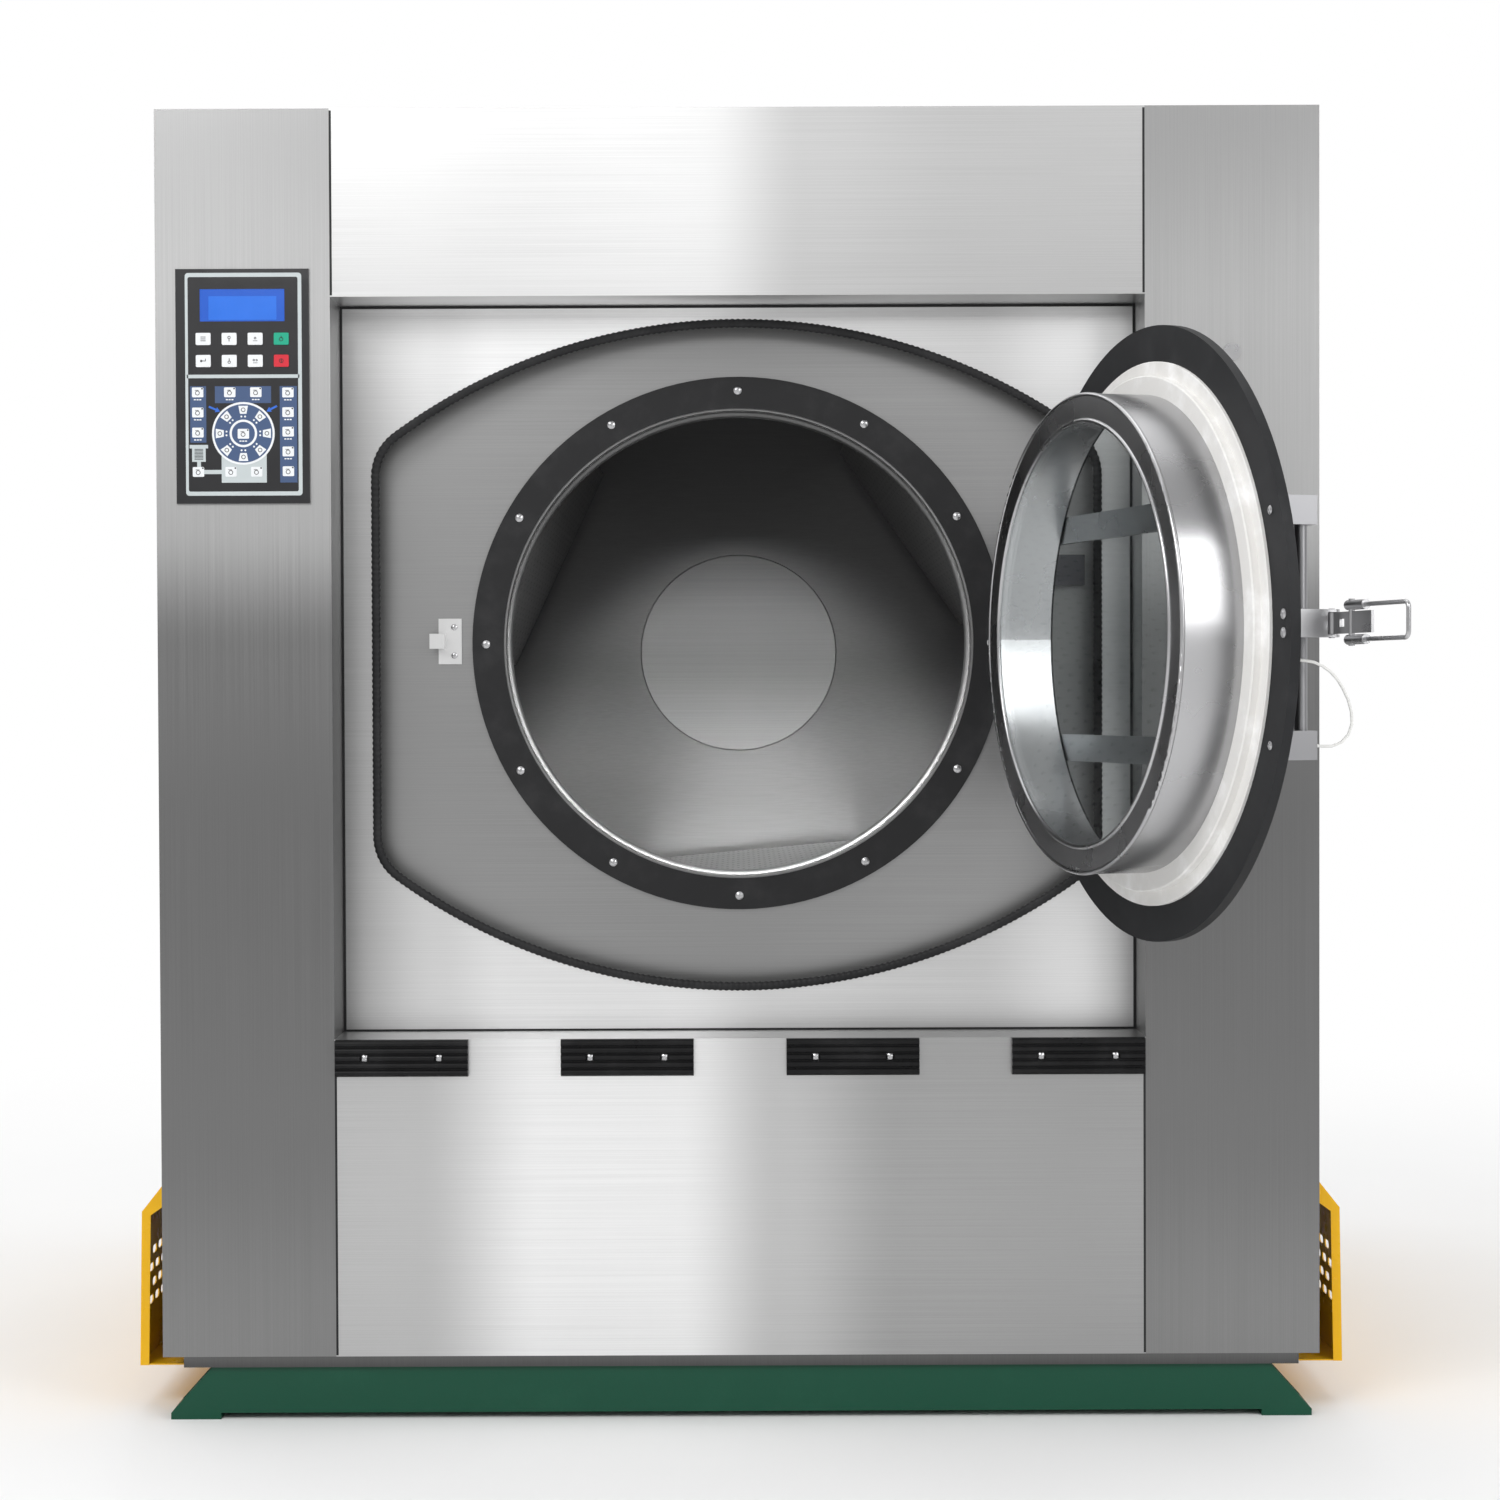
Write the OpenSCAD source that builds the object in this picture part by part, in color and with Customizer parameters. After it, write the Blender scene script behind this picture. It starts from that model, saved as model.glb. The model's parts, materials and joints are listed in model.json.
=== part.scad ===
// Industrial front-loading laundry machine: a belt-driven drum in a sprung tub, inside a sheet-steel
// cabinet, with a swing-out porthole door. Millimetres, +Z up, front towards -Y.
// The origin is on the floor at the centre of the four anchor bolts.

/* [Drum] */
// Outer radius of the drum wall
drum_r = 650; // [600:5:780]
// Length of the drum wall
drum_len = 880; // [700:10:1060]
// Thickness of the drum's sheet
drum_t = 3; // [2:0.5:5]
// Inner radius of the drum's mouth
mouth_r = 366; // [305:1:440]
// Radius of the rolled bead around the mouth
bead_r = 8; // [5:0.5:10]
// Radius of the flat disc in the middle of the drum's back
hub_disc_r = 186; // [160:1:223]
// How far the middle of the drum's back stands forward of its rim
back_dish = 50; // [30:1:60]
// Width of a lifter's flat top
lifter_top_w = 400; // [330:5:480]
// Width of a lifter where it meets the drum wall
lifter_foot_w = 520; // [490:5:624]
// How far the lifters are turned past the lowest point, in degrees
lifter_turn = 5; // [0:1:40]
// Radius of the drum's shaft
shaft_r = 45; // [35:1:54]

/* [Tub] */
// Gap between the drum and the tub wall
tub_gap = 55; // [40:1:66]
// Thickness of the tub wall
tub_t = 4; // [3:0.5:6]
// Thickness of the tub's front and back plates
tub_plate_t = 10; // [8:0.5:12]
// Width of the black ring around the loading mouth
ring_w = 50; // [42:1:60]
// Thickness of the black ring
ring_t = 6; // [4:0.5:6.5]

/* [Door] */
// Angle that the door stands open at rest, in degrees
door_open = 106.5; // [0:0.5:120]
// Gap between the door's plug and the drum's mouth
plug_gap = 27; // [23:1:32]
// How far the plug reaches in from the door's flange
plug_len = 106; // [90:1:127]
// Width of the plug's end face around the glass
end_face_w = 40; // [30:1:48]
// Thickness of the glass
glass_t = 8; // [6:0.5:10]
// How far the flange stands out past the plug
flange_w = 98; // [90:1:117]
// Depth of the flange's outer rim
rim_d = 14; // [8:1:14]
// Height of a hinge arm
arm_h = 40; // [30:1:48]
// Height of the hinge arms above and below the door's centre
arm_z = 165; // [138:1:190]
// Distance between the handle's two end blocks
handle_len = 305; // [255:1:320]
// Radius of the handle's bar
handle_r = 8.5; // [7:0.5:9.5]

/* [Latch] */
// Height of the latch above the door's centre
latch_z = 5; // [0:1:6]
// Length of the latch's lever
lever_len = 105; // [88:1:126]
// Distance from the lever's pivot to the bail's pivot
bail_offset = 52; // [48:1:56]
// Length of the bail from its pivot to its cross rod
bail_len = 141; // [125:1:169]
// Radius of the bail's rod
bail_r = 3; // [2.5:0.1:3.4]

/* [Cabinet] */
// Width of each front column
column_w = 270; // [225:1:324]
// Thickness of the cabinet's sheet
sheet_t = 2; // [1.5:0.1:2.4]
// How far the middle front panel is set back
recess_d = 110; // [92:1:120]
// Distance from the cabinet's front to the tub's front
face_setback = 160; // [150:1:192]
// Room behind the tub for the bearings and belts
drive_room = 460; // [400:5:552]
// Height of the cabinet sheets above the floor
skirt_z = 100; // [92:1:120]
// Room above the tub
top_room = 116; // [96:1:140]
// Radius of the cut-out's rounded corners
cut_corner = 80; // [60:1:96]
// Radius of the cut-out's long arcs
cut_arc_r = 920; // [860:5:1104]
// Width of a rubber bumper
bumper_w = 206; // [172:1:247]

/* [Keypad] */
// Width of the keypad
pad_w = 206; // [190:1:220]
// Height of the keypad
pad_h = 362; // [330:1:434]
// Width of a key
key_w = 23; // [19:0.5:27.5]
// Height of a key
key_h = 18.6; // [15.5:0.1:22]
// Distance between the keys of a row
key_pitch = 40.2; // [34:0.1:44]
// Distance between the two rows of keys
key_row = 34; // [28:0.5:40]

/* [Base and suspension] */
// Height of the base frame's rails
rail_h = 73; // [61:1:80]
// Thickness of the foot plates
foot_t = 10; // [8:1:12]
// Radius of an anchor bolt's hole
anchor_r = 9; // [7:0.5:11]
// Free height of a suspension spring
spring_h = 251; // [235:1:301]
// Radius of a spring's coil
spring_r = 50; // [42:1:60]
// Radius of a spring's wire
spring_wire = 9; // [7:0.5:10.8]
// Turns in a spring
spring_turns = 6; // [5:1:7]
// Height of the cradle's beams
beam_h = 80; // [67:1:96]
// Radius of the motor
motor_r = 112; // [94:1:120]
// Radius of the drum pulley, at the belts
big_pulley_r = 350; // [292:1:420]
// Radius of the motor pulley, at the belts
small_pulley_r = 70; // [58:1:84]
// Radius of the drain outlet
drain_r = 45; // [38:1:54]

/* [Hidden] */
$fn = 96;

// Fits and gaps
run_gap = 0.05;      // a pin or shaft that turns in its bore
slip_gap = 0.5;      // parts that pass each other
cut_through = 1;     // how far a cutting tool runs past a face

// Door sizes, out from the drum's mouth
plug_r = mouth_r - plug_gap;
plug_t = 3;
glass_open_r = plug_r - end_face_w;
seal_step_r = plug_r + 27;
seal_r = plug_r + 47;
seal_t = 5;
ring_in_r = plug_r + 38;
ring_out_r = ring_in_r + ring_w;
flange_r = plug_r + flange_w;
flange_t = 3;
pivot_x = flange_r + 38;      // the door's centre is this far from its hinge
pivot_fwd = 42;               // the hinge line stands this far in front of the tub
flange_in = 30;               // the flange's inner face, behind the hinge line
screw_ring_r = ring_in_r + ring_w * 0.56;

// Cabinet sizes, out from the door
cut_half_w = pivot_x + 100;
cut_half_h = flange_r + 89;
open_half = cut_half_w + 55;
cab_w = 2 * (open_half + column_w);
half_w = cab_w / 2;
tub_in_r = drum_r + tub_gap;
tub_r = tub_in_r + tub_t;
tub_len = drum_len + 100;
cab_d = face_setback + tub_len + drive_room;
half_d = cab_d / 2;

// Heights, up from the floor
rail_top = foot_t + rail_h;
pad_t = 6;
spring_z = rail_top + pad_t;
beam_z = spring_z + spring_h;
beam_top = beam_z + beam_h;
axis_z = beam_top + 81 + tub_r;
cut_z = axis_z - 20;
ledge_z = cut_z - cut_half_h - 70;
header_z = cut_z + cut_half_h + 29;
cab_top = axis_z + tub_r + top_room;

// Depths, back from the front plane
front_y = -half_d;
panel_y = front_y + recess_d;
tub_y = front_y + face_setback;
tub_back_y = tub_y + tub_plate_t + tub_len;
drum_y = tub_y + 40;
drum_wall_y = drum_y + drum_t;
drum_back_y = drum_wall_y + drum_len;
pivot_y = tub_y - pivot_fwd;
housing_len = 210;
pulley_y = tub_back_y + 254;
pulley_w = 72;

// Suspension places
rail_x = half_w - 76;
rail_y = half_d - 10;
rail_flange = 60;
steel_t = 6;
foot_w = 78;
foot_d = 100;
anchor_x = rail_x + 33;
anchor_y = rail_y - 50;
spring_x = half_w - 340;
damper_x = half_w - 210;
spring_y = half_d - 350;
cradle_half = damper_x + 50;
long_beam_x = 420;
beam_w = 80;
damper_r = 30;
damper_rod_r = 10;
motor_z = beam_z - pad_t - motor_r;
motor_len = 370;
motor_back_y = spring_y - 60;
motor_shaft_r = 24;
drain_y = -200;

// Belts and pulleys
belt_n = 4;
belt_w = 14;
belt_t = 9;
belt_pitch = 18;
belt_gap = 0.4;
pulley_gap = axis_z - motor_z;

// Latch places, in the door's own frame
handle_s = pivot_x + flange_r - 55;
latch_s = pivot_x + flange_r - 19;
latch_out = 38;
bail_half = 22;
ear_t = 3.5;
lever_half = 14;
base_half = lever_half + slip_gap + ear_t;
latch_pin_r = 4;

// Keypad places
pad_t_out = 4;
pad_x = -(half_w - column_w / 2);
pad_z = axis_z + 397;
key_top_z = pad_z + 73;
display_w = 131;
display_h = 50;
display_z = pad_z + 125;
key_gap = 0.4;
key_proud = 1.2;

// A cylinder along Y, from y0 to y1
module y_cyl(r, y0, y1, fn = 96) {
    translate([0, y0, 0]) rotate([-90, 0, 0]) cylinder(r = r, h = y1 - y0, $fn = fn);
}

// A tube along Y
module y_tube(ro, ri, y0, y1, fn = 96) {
    difference() {
        y_cyl(ro, y0, y1, fn);
        y_cyl(ri, y0 - cut_through, y1 + cut_through, fn);
    }
}

// A profile of (radius, depth) points turned about the Y axis
module y_turn(points, fn = 96) {
    rotate([-90, 0, 0]) rotate_extrude($fn = fn) polygon(points);
}

// A ring of round section about the Y axis
module y_torus(ring, r, y) {
    translate([0, y, 0]) rotate([-90, 0, 0]) rotate_extrude($fn = 96)
        translate([ring, 0]) circle(r = r, $fn = 32);
}

// A box between two corners
module box(a, b) {
    translate(a) cube(b - a);
}

// Puts a piece on the drum's axis
module on_axis() {
    translate([0, 0, axis_z]) children();
}

// Puts a piece in the door's frame: the hinge line is at its origin, the door's centre is at -X,
// and +Y is the side that faces the drum when the door is shut
module on_door() {
    translate([pivot_x, pivot_y, axis_z]) rotate([0, 0, door_open]) children();
}

// Copies a piece to the other side, across X = 0
module both_sides() {
    children();
    mirror([1, 0, 0]) children();
}

// Copies a piece to the front and the back, across Y = 0
module both_ends() {
    children();
    mirror([0, 1, 0]) children();
}

// ---------------------------------------------------------------- base and cabinet

// A C-section rail along X, its open side towards +Y
module rail_along_x(len, y) {
    box([-len / 2, y, foot_t], [len / 2, y + steel_t, rail_top]);
    box([-len / 2, y, foot_t], [len / 2, y + rail_flange, foot_t + steel_t]);
    box([-len / 2, y, rail_top - steel_t], [len / 2, y + rail_flange, rail_top]);
}

// A C-section rail along Y, its open side towards -X
module rail_along_y(len, x) {
    box([x - steel_t, -len / 2, foot_t], [x, len / 2, rail_top]);
    box([x - rail_flange, -len / 2, foot_t], [x, len / 2, foot_t + steel_t]);
    box([x - rail_flange, -len / 2, rail_top - steel_t], [x, len / 2, rail_top]);
}

// A foot plate with its anchor hole and two gussets, at the right front corner
module foot() {
    outer = rail_x + foot_w - 12;
    difference() {
        box([rail_x - 12, -rail_y, 0], [outer, -rail_y + foot_d, foot_t]);
        translate([anchor_x, -anchor_y, -cut_through])
            cylinder(r = anchor_r, h = foot_t + 2 * cut_through, $fn = 48);
    }
    for (y = [-rail_y, -rail_y + foot_d - steel_t])
        translate([0, y + steel_t, 0]) rotate([90, 0, 0]) linear_extrude(steel_t)
            polygon([[rail_x - 1, foot_t], [outer, foot_t], [rail_x, rail_top], [rail_x - 1, rail_top]]);
}

module base_frame() {
    color("#0b5a3e") {
        both_ends() rail_along_x(2 * rail_x, -rail_y);
        both_ends() rail_along_x(2 * rail_x, -spring_y - rail_flange / 2);
        both_sides() rail_along_y(2 * rail_y, rail_x);
        both_sides() both_ends() foot();
        both_sides() both_ends() {
            translate([spring_x, -spring_y, rail_top - steel_t])
                cylinder(r = spring_r + 20, h = pad_t + steel_t, $fn = 64);
            translate([damper_x, -spring_y, rail_top - steel_t])
                cylinder(r = damper_r + 14, h = pad_t + steel_t, $fn = 64);
        }
    }
}

// An L-section post, its corner at (x, y) and its legs along the signs given
module post(x, y, sx, sy, z0, z1) {
    leg = 40;
    thick = 4;
    box([min(x, x + sx * leg), min(y, y + sy * thick), z0], [max(x, x + sx * leg), max(y, y + sy * thick), z1]);
    box([min(x, x + sx * thick), min(y, y + sy * leg), z0], [max(x, x + sx * thick), max(y, y + sy * leg), z1]);
}

module cabinet_frame() {
    outer_x = half_w - sheet_t - 30;
    outer_y = half_d - sheet_t - slip_gap;
    inner_x = open_half + sheet_t + 4;
    inner_y = panel_y - 10;
    leg = 40;
    thick = 4;
    top = cab_top - sheet_t - slip_gap;
    color("#9a9c9e") {
        both_sides() {
            post(outer_x, -outer_y, -1, 1, rail_top, top);
            post(outer_x, outer_y, -1, -1, rail_top, top);
            post(inner_x, inner_y, 1, -1, rail_top, top);
            box([inner_x, -outer_y, rail_top], [inner_x + leg, inner_y, rail_top + thick]);
            box([inner_x, -outer_y, top - thick], [inner_x + leg, inner_y, top]);
        }
        for (z = [rail_top, top - leg]) {
            both_sides() box([outer_x - thick, -outer_y, z], [outer_x, outer_y, z + leg]);
            both_ends() box([-outer_x, -outer_y, z], [outer_x, -outer_y + thick, z + leg]);
        }
        both_sides() box([outer_x - leg, -outer_y, rail_top], [outer_x, outer_y, rail_top + thick]);
        both_ends() box([-outer_x, -outer_y, rail_top], [outer_x, -outer_y + leg, rail_top + thick]);
        box([-inner_x - thick, inner_y - thick, header_z + 6], [inner_x + thick, inner_y, header_z + 6 + leg]);
        box([-inner_x - thick, inner_y - thick, ledge_z - 6 - leg], [inner_x + thick, inner_y, ledge_z - 6]);
    }
}

// The right-hand front column: a face with a return down each side
module column() {
    box([open_half, front_y, skirt_z], [half_w, front_y + sheet_t, cab_top]);
    box([open_half, front_y, ledge_z - 4], [open_half + sheet_t, panel_y, header_z + 4]);
    box([half_w - sheet_t, front_y, skirt_z], [half_w, front_y + 60, cab_top]);
}

module left_column() {
    color("#b9bbbd") mirror([1, 0, 0]) column();
}

module right_column() {
    color("#b9bbbd") column();
}

module header_panel() {
    color("#d0d1d3") {
        box([-open_half, front_y, header_z], [open_half, front_y + sheet_t, cab_top]);
        box([-open_half, front_y, header_z], [open_half, panel_y, header_z + sheet_t]);
    }
}

module lower_panel() {
    color("#c4c6c8") {
        box([-open_half, front_y, skirt_z], [open_half, front_y + sheet_t, ledge_z]);
        box([-open_half, front_y, ledge_z - sheet_t], [open_half, panel_y, ledge_z]);
    }
}

// The cut-out's outline: two long arcs over straight sides, with rounded corners
module cutout_outline(grow = 0) {
    offset(r = cut_corner + grow, $fn = 96) offset(delta = -cut_corner)
        intersection() {
            translate([0, cut_half_h - cut_arc_r]) circle(r = cut_arc_r, $fn = 240);
            translate([0, cut_arc_r - cut_half_h]) circle(r = cut_arc_r, $fn = 240);
            square([2 * cut_half_w, 2 * cut_half_h + 2], center = true);
        }
}

// A flat outline stood up on the cut-out's centre, from y0 to y1
module stood_up(y0, y1) {
    translate([0, y1, cut_z]) rotate([90, 0, 0]) linear_extrude(y1 - y0) children();
}

module front_panel() {
    color("#c9cbcd") difference() {
        box([-open_half - sheet_t, panel_y, ledge_z - sheet_t], [open_half + sheet_t, panel_y + sheet_t, header_z + sheet_t]);
        stood_up(panel_y - cut_through, panel_y + sheet_t + cut_through) cutout_outline(0);
    }
}

module cutout_trim() {
    lip = 7;
    color("#161616") difference() {
        stood_up(panel_y - lip, panel_y + sheet_t + lip) difference() {
            cutout_outline(8);
            cutout_outline(-7);
        }
        stood_up(panel_y, panel_y + sheet_t) difference() {
            cutout_outline(20);
            cutout_outline(0);
        }
    }
}

// The right side panel
module side_panel() {
    box([half_w - sheet_t, front_y + 60, skirt_z], [half_w, half_d, cab_top]);
}

module left_side_panel() {
    color("#b4b6b8") mirror([1, 0, 0]) side_panel();
}

module right_side_panel() {
    color("#b4b6b8") side_panel();
}

module roof_panel() {
    color("#b4b6b8")
        box([-half_w + sheet_t, front_y + sheet_t, cab_top - sheet_t], [half_w - sheet_t, half_d - sheet_t, cab_top]);
}

module rear_panel() {
    slot_w = 160;
    slot_h = 10;
    color("#aeb0b2") difference() {
        box([-half_w + sheet_t, half_d - sheet_t, skirt_z], [half_w - sheet_t, half_d, cab_top]);
        for (x = [-480, -240, 240, 480], i = [0:7])
            translate([x - slot_w / 2, half_d - sheet_t - cut_through, cab_top - 320 + i * 28])
                cube([slot_w, sheet_t + 2 * cut_through, slot_h]);
        for (x = [-480, -240, 240, 480], i = [0:7])
            translate([x - slot_w / 2, half_d - sheet_t - cut_through, skirt_z + 90 + i * 28])
                cube([slot_w, sheet_t + 2 * cut_through, slot_h]);
    }
}

// Bumper places along the lower panel's top edge
bumper_x = [-(open_half - bumper_w / 2 - 2), -175, 175, open_half - bumper_w / 2 - 2];
bumper_h = 57;
bumper_d = 8;
bumper_ribs = 5;
bumper_screw_x = bumper_w * 0.28;
bumper_screw_z = ledge_z - bumper_h / 2;
screw_head_r = 6;
screw_head_h = 3;

module bumper_strips() {
    rib = bumper_h / bumper_ribs;
    color("#141414") for (x = bumper_x) difference() {
        translate([x - bumper_w / 2, front_y, ledge_z - bumper_h]) {
            translate([0, -bumper_d, 0]) cube([bumper_w, bumper_d, bumper_h]);
            for (i = [0:bumper_ribs - 1])
                translate([0, -bumper_d, (i + 0.5) * rib]) rotate([0, 90, 0])
                    cylinder(r = rib * 0.42, h = bumper_w, $fn = 32);
        }
        for (s = [-1, 1]) translate([x + s * bumper_screw_x, 0, bumper_screw_z])
            y_cyl(screw_head_r + 1, front_y - 2 * bumper_d, front_y - bumper_d + 1, 32);
    }
}

// A round-headed screw, its seat at y and its head towards -Y
module screw_head(r, h, y) {
    translate([0, y, 0]) rotate([90, 0, 0]) difference() {
        intersection() {
            cylinder(r = r, h = h, $fn = 32);
            translate([0, 0, h - r * 1.6]) sphere(r = r * 1.6, $fn = 48);
        }
        translate([0, 0, h - 1]) cylinder(r = r * 0.42, h = 2, $fn = 6);
    }
}

module cabinet_fixings() {
    color("#c8c8c8") {
        for (x = bumper_x, s = [-1, 1])
            translate([x + s * bumper_screw_x, 0, bumper_screw_z])
                screw_head(screw_head_r, screw_head_h, front_y - bumper_d + 1);
        translate([half_w - column_w / 2, 0, pad_z + 48]) y_cyl(13, front_y - 4, front_y);
    }
}

// The guard beside the base on the right: a folded sheet with an open front and a slotted side
guard_out = 52;
guard_y0 = front_y + 80;
guard_y1 = half_d - 180;
guard_slot_l = 30;
guard_slot_w = 13;
guard_slot_pitch = 44;
guard_slot_row = 26;
guard_slot_rows = 4;
guard_slot_count = 26;
guard_lean = 4;
module guard() {
    t = 2;
    top_z = axis_z - 839;
    knee_z = top_z - 58;
    low_z = rail_top - 14;
    x0 = half_w + 0.3;
    x1 = half_w + guard_out;
    knee_x = x1 - guard_lean;
    floor_x = half_w - 30;
    flange = 14;
    difference() {
        translate([0, guard_y1, 0]) rotate([90, 0, 0]) linear_extrude(guard_y1 - guard_y0) {
            polygon([[x0, top_z], [x0 + t, top_z], [knee_x, knee_z], [knee_x - t, knee_z]]);
            polygon([[knee_x, knee_z], [x1, low_z], [x1 - t, low_z], [knee_x - t, knee_z]]);
            polygon([[x1, low_z], [floor_x, low_z], [floor_x, low_z + t], [x1 - t, low_z + t]]);
        }
        for (i = [0:guard_slot_count - 1], k = [0:guard_slot_rows - 1])
            translate([x1 - 10, guard_y0 + 70 + (i + (k % 2) / 2) * guard_slot_pitch, low_z + 90 + k * guard_slot_row]) {
                for (e = [-1, 1]) translate([0, e * (guard_slot_l - guard_slot_w) / 2, 0]) rotate([0, 90, 0])
                    cylinder(r = guard_slot_w / 2, h = 20, $fn = 24);
                translate([0, (guard_slot_w - guard_slot_l) / 2, -guard_slot_w / 2])
                    cube([20, guard_slot_l - guard_slot_w, guard_slot_w]);
            }
    }
    // The inner leg, which stands on the base's rail behind the front foot
    translate([0, guard_y1, 0]) rotate([90, 0, 0]) linear_extrude(guard_y1 + rail_y - foot_d - 10)
        polygon([[rail_x + 0.3, rail_top - 40], [rail_x + 0.3 + t, rail_top - 40], [floor_x + t, low_z],
                 [floor_x, low_z + t]]);
    // The front flange, notched round the column's edge
    difference() {
        translate([0, guard_y0, 0]) rotate([90, 0, 0]) linear_extrude(t) polygon([
            [x0, top_z], [knee_x, knee_z], [x1, low_z], [x1 - flange, low_z], [knee_x - flange, knee_z - 6],
            [x0, top_z - 40]]);
        translate([half_w - 20, guard_y0 - 2 * t, top_z - 90]) cube([20.3, 4 * t, 100]);
    }
}

module left_guard() {
    color("#f2b400") mirror([1, 0, 0]) guard();
}

module right_guard() {
    color("#f2b400") guard();
}

// ---------------------------------------------------------------- keypad

key_x = [for (i = [0:3]) pad_x + (i - 1.5) * key_pitch];
key_z = [key_top_z, key_top_z - key_row];

module keypad_bezel() {
    color("#101214") difference() {
        box([pad_x - pad_w / 2, front_y - pad_t_out, pad_z - pad_h / 2], [pad_x + pad_w / 2, front_y, pad_z + pad_h / 2]);
        box([pad_x - display_w / 2, front_y - pad_t_out - cut_through, display_z - display_h / 2],
            [pad_x + display_w / 2, front_y - 1, display_z + display_h / 2]);
        for (x = key_x, z = key_z)
            box([x - key_w / 2 - key_gap, front_y - pad_t_out - cut_through, z - key_h / 2 - key_gap],
                [x + key_w / 2 + key_gap, front_y + cut_through, z + key_h / 2 + key_gap]);
    }
}

module display_window() {
    color("#1450b8")
        box([pad_x - display_w / 2, front_y - pad_t_out + 0.6, display_z - display_h / 2],
            [pad_x + display_w / 2, front_y - 1, display_z + display_h / 2]);
}

// One key of the keypad, in column i and row j
module keycap(i, j, paint) {
    r = 2;
    color(paint) translate([key_x[i], front_y - 1, key_z[j]]) rotate([90, 0, 0])
        linear_extrude(pad_t_out - 1 + key_proud) {
            square([key_w - 2 * r, key_h], center = true);
            square([key_w, key_h - 2 * r], center = true);
            for (sx = [-1, 1], sy = [-1, 1])
                translate([sx * (key_w / 2 - r), sy * (key_h / 2 - r)]) circle(r = r, $fn = 32);
        }
}

module key_menu() keycap(0, 0, "#e8ebee");
module key_up() keycap(1, 0, "#e8ebee");
module key_f1() keycap(2, 0, "#e8ebee");
module key_start() keycap(3, 0, "#12a070");
module key_enter() keycap(0, 1, "#e8ebee");
module key_down() keycap(1, 1, "#e8ebee");
module key_f2() keycap(2, 1, "#e8ebee");
module key_stop() keycap(3, 1, "#d01828");

// ---------------------------------------------------------------- suspension

// Points of a helical spring's tube: rings of sides around the coil's centre line
spring_sides = 6;
spring_steps = 12;
spring_rings = spring_turns * spring_steps;
spring_rise = spring_h - 2 * spring_wire;
function coil_point(i, j) =
    let (a = 360 * i / spring_steps, b = 360 * j / spring_sides, r = spring_r + spring_wire * cos(b))
    [r * cos(a), r * sin(a), spring_wire + spring_rise * i / spring_rings + spring_wire * sin(b)];

module coil_spring() {
    n = spring_sides;
    points = [for (i = [0:spring_rings], j = [0:n - 1]) coil_point(i, j)];
    walls = [for (i = [0:spring_rings - 1], j = [0:n - 1])
        [i * n + j, (i + 1) * n + j, (i + 1) * n + (j + 1) % n, i * n + (j + 1) % n]];
    caps = [[for (j = [0:n - 1]) j], [for (j = [n - 1:-1:0]) spring_rings * n + j]];
    polyhedron(points = points, faces = concat(walls, caps), convexity = 6);
}

module springs() {
    color("#2f3a36") for (sx = [-1, 1], sy = [-1, 1])
        translate([sx * spring_x, sy * spring_y, spring_z]) coil_spring();
}

module damper_bodies() {
    top = spring_z + spring_h * 0.64;
    color("#303336") both_sides() both_ends() translate([damper_x, -spring_y, 0]) difference() {
        translate([0, 0, spring_z]) cylinder(r = damper_r, h = top - spring_z);
        translate([0, 0, spring_z + 30]) cylinder(r = damper_rod_r + run_gap, h = top - spring_z, $fn = 48);
    }
}

module damper_rods() {
    color("#cfd2d4") both_sides() both_ends() translate([damper_x, -spring_y, spring_z + 70])
        cylinder(r = damper_rod_r, h = spring_h - 70, $fn = 48);
}

// ---------------------------------------------------------------- tub

module tub_shell() {
    color("#a7a9ab") on_axis() difference() {
        union() {
            y_tube(tub_r, tub_in_r, tub_y + tub_plate_t, tub_back_y, 180);
            y_tube(tub_in_r + 1, shaft_r + 15, tub_back_y - tub_plate_t, tub_back_y, 180);
        }
        translate([0, drain_y, -tub_r - 20]) cylinder(r = drain_r - 4, h = 60, $fn = 64);
    }
}

module tub_front() {
    lip_r = ring_in_r - 3;
    color("#9c9ea0") on_axis() {
        y_tube(tub_r + 6, lip_r, tub_y, tub_y + tub_plate_t, 180);
        y_tube(lip_r + 4, lip_r, tub_y, tub_y + 25, 180);
    }
}

module gasket_ring() {
    color("#1b1b1c") on_axis() y_tube(ring_out_r, ring_in_r, tub_y - ring_t, tub_y, 180);
}

keeper_x = -(pivot_x - 12);
keeper_z = axis_z + latch_z;
keeper_w = 37;
keeper_h = 73;
keeper_t = 3;

module tub_screws() {
    color("#d0d0d0") {
        on_axis() for (i = [0:11]) rotate([0, i * 30, 0]) translate([0, 0, screw_ring_r])
            screw_head(6.5, 3.5, tub_y - ring_t);
        for (s = [-1, 1]) translate([keeper_x + 7, 0, keeper_z + s * keeper_h * 0.31])
            screw_head(5, 3, tub_y - keeper_t);
    }
}

// The keeper: a plate on the tub with a hook that the latch's bail pulls on
module door_keeper() {
    hook_half = 12;
    hook_top = tub_y - 23;
    color("#c9cacc") {
        box([keeper_x - keeper_w / 2, tub_y - keeper_t, keeper_z - keeper_h / 2],
            [keeper_x + keeper_w / 2, tub_y, keeper_z + keeper_h / 2]);
        box([keeper_x - 11, hook_top, keeper_z - hook_half], [keeper_x - 7, tub_y, keeper_z + hook_half]);
        box([keeper_x - 31, hook_top, keeper_z - hook_half], [keeper_x - 7, hook_top + keeper_t, keeper_z + hook_half]);
    }
}

hinge_pin_r = 8;
knuckle_r = 18;
bracket_gap = 0.5;
bracket_t = 8;

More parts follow.
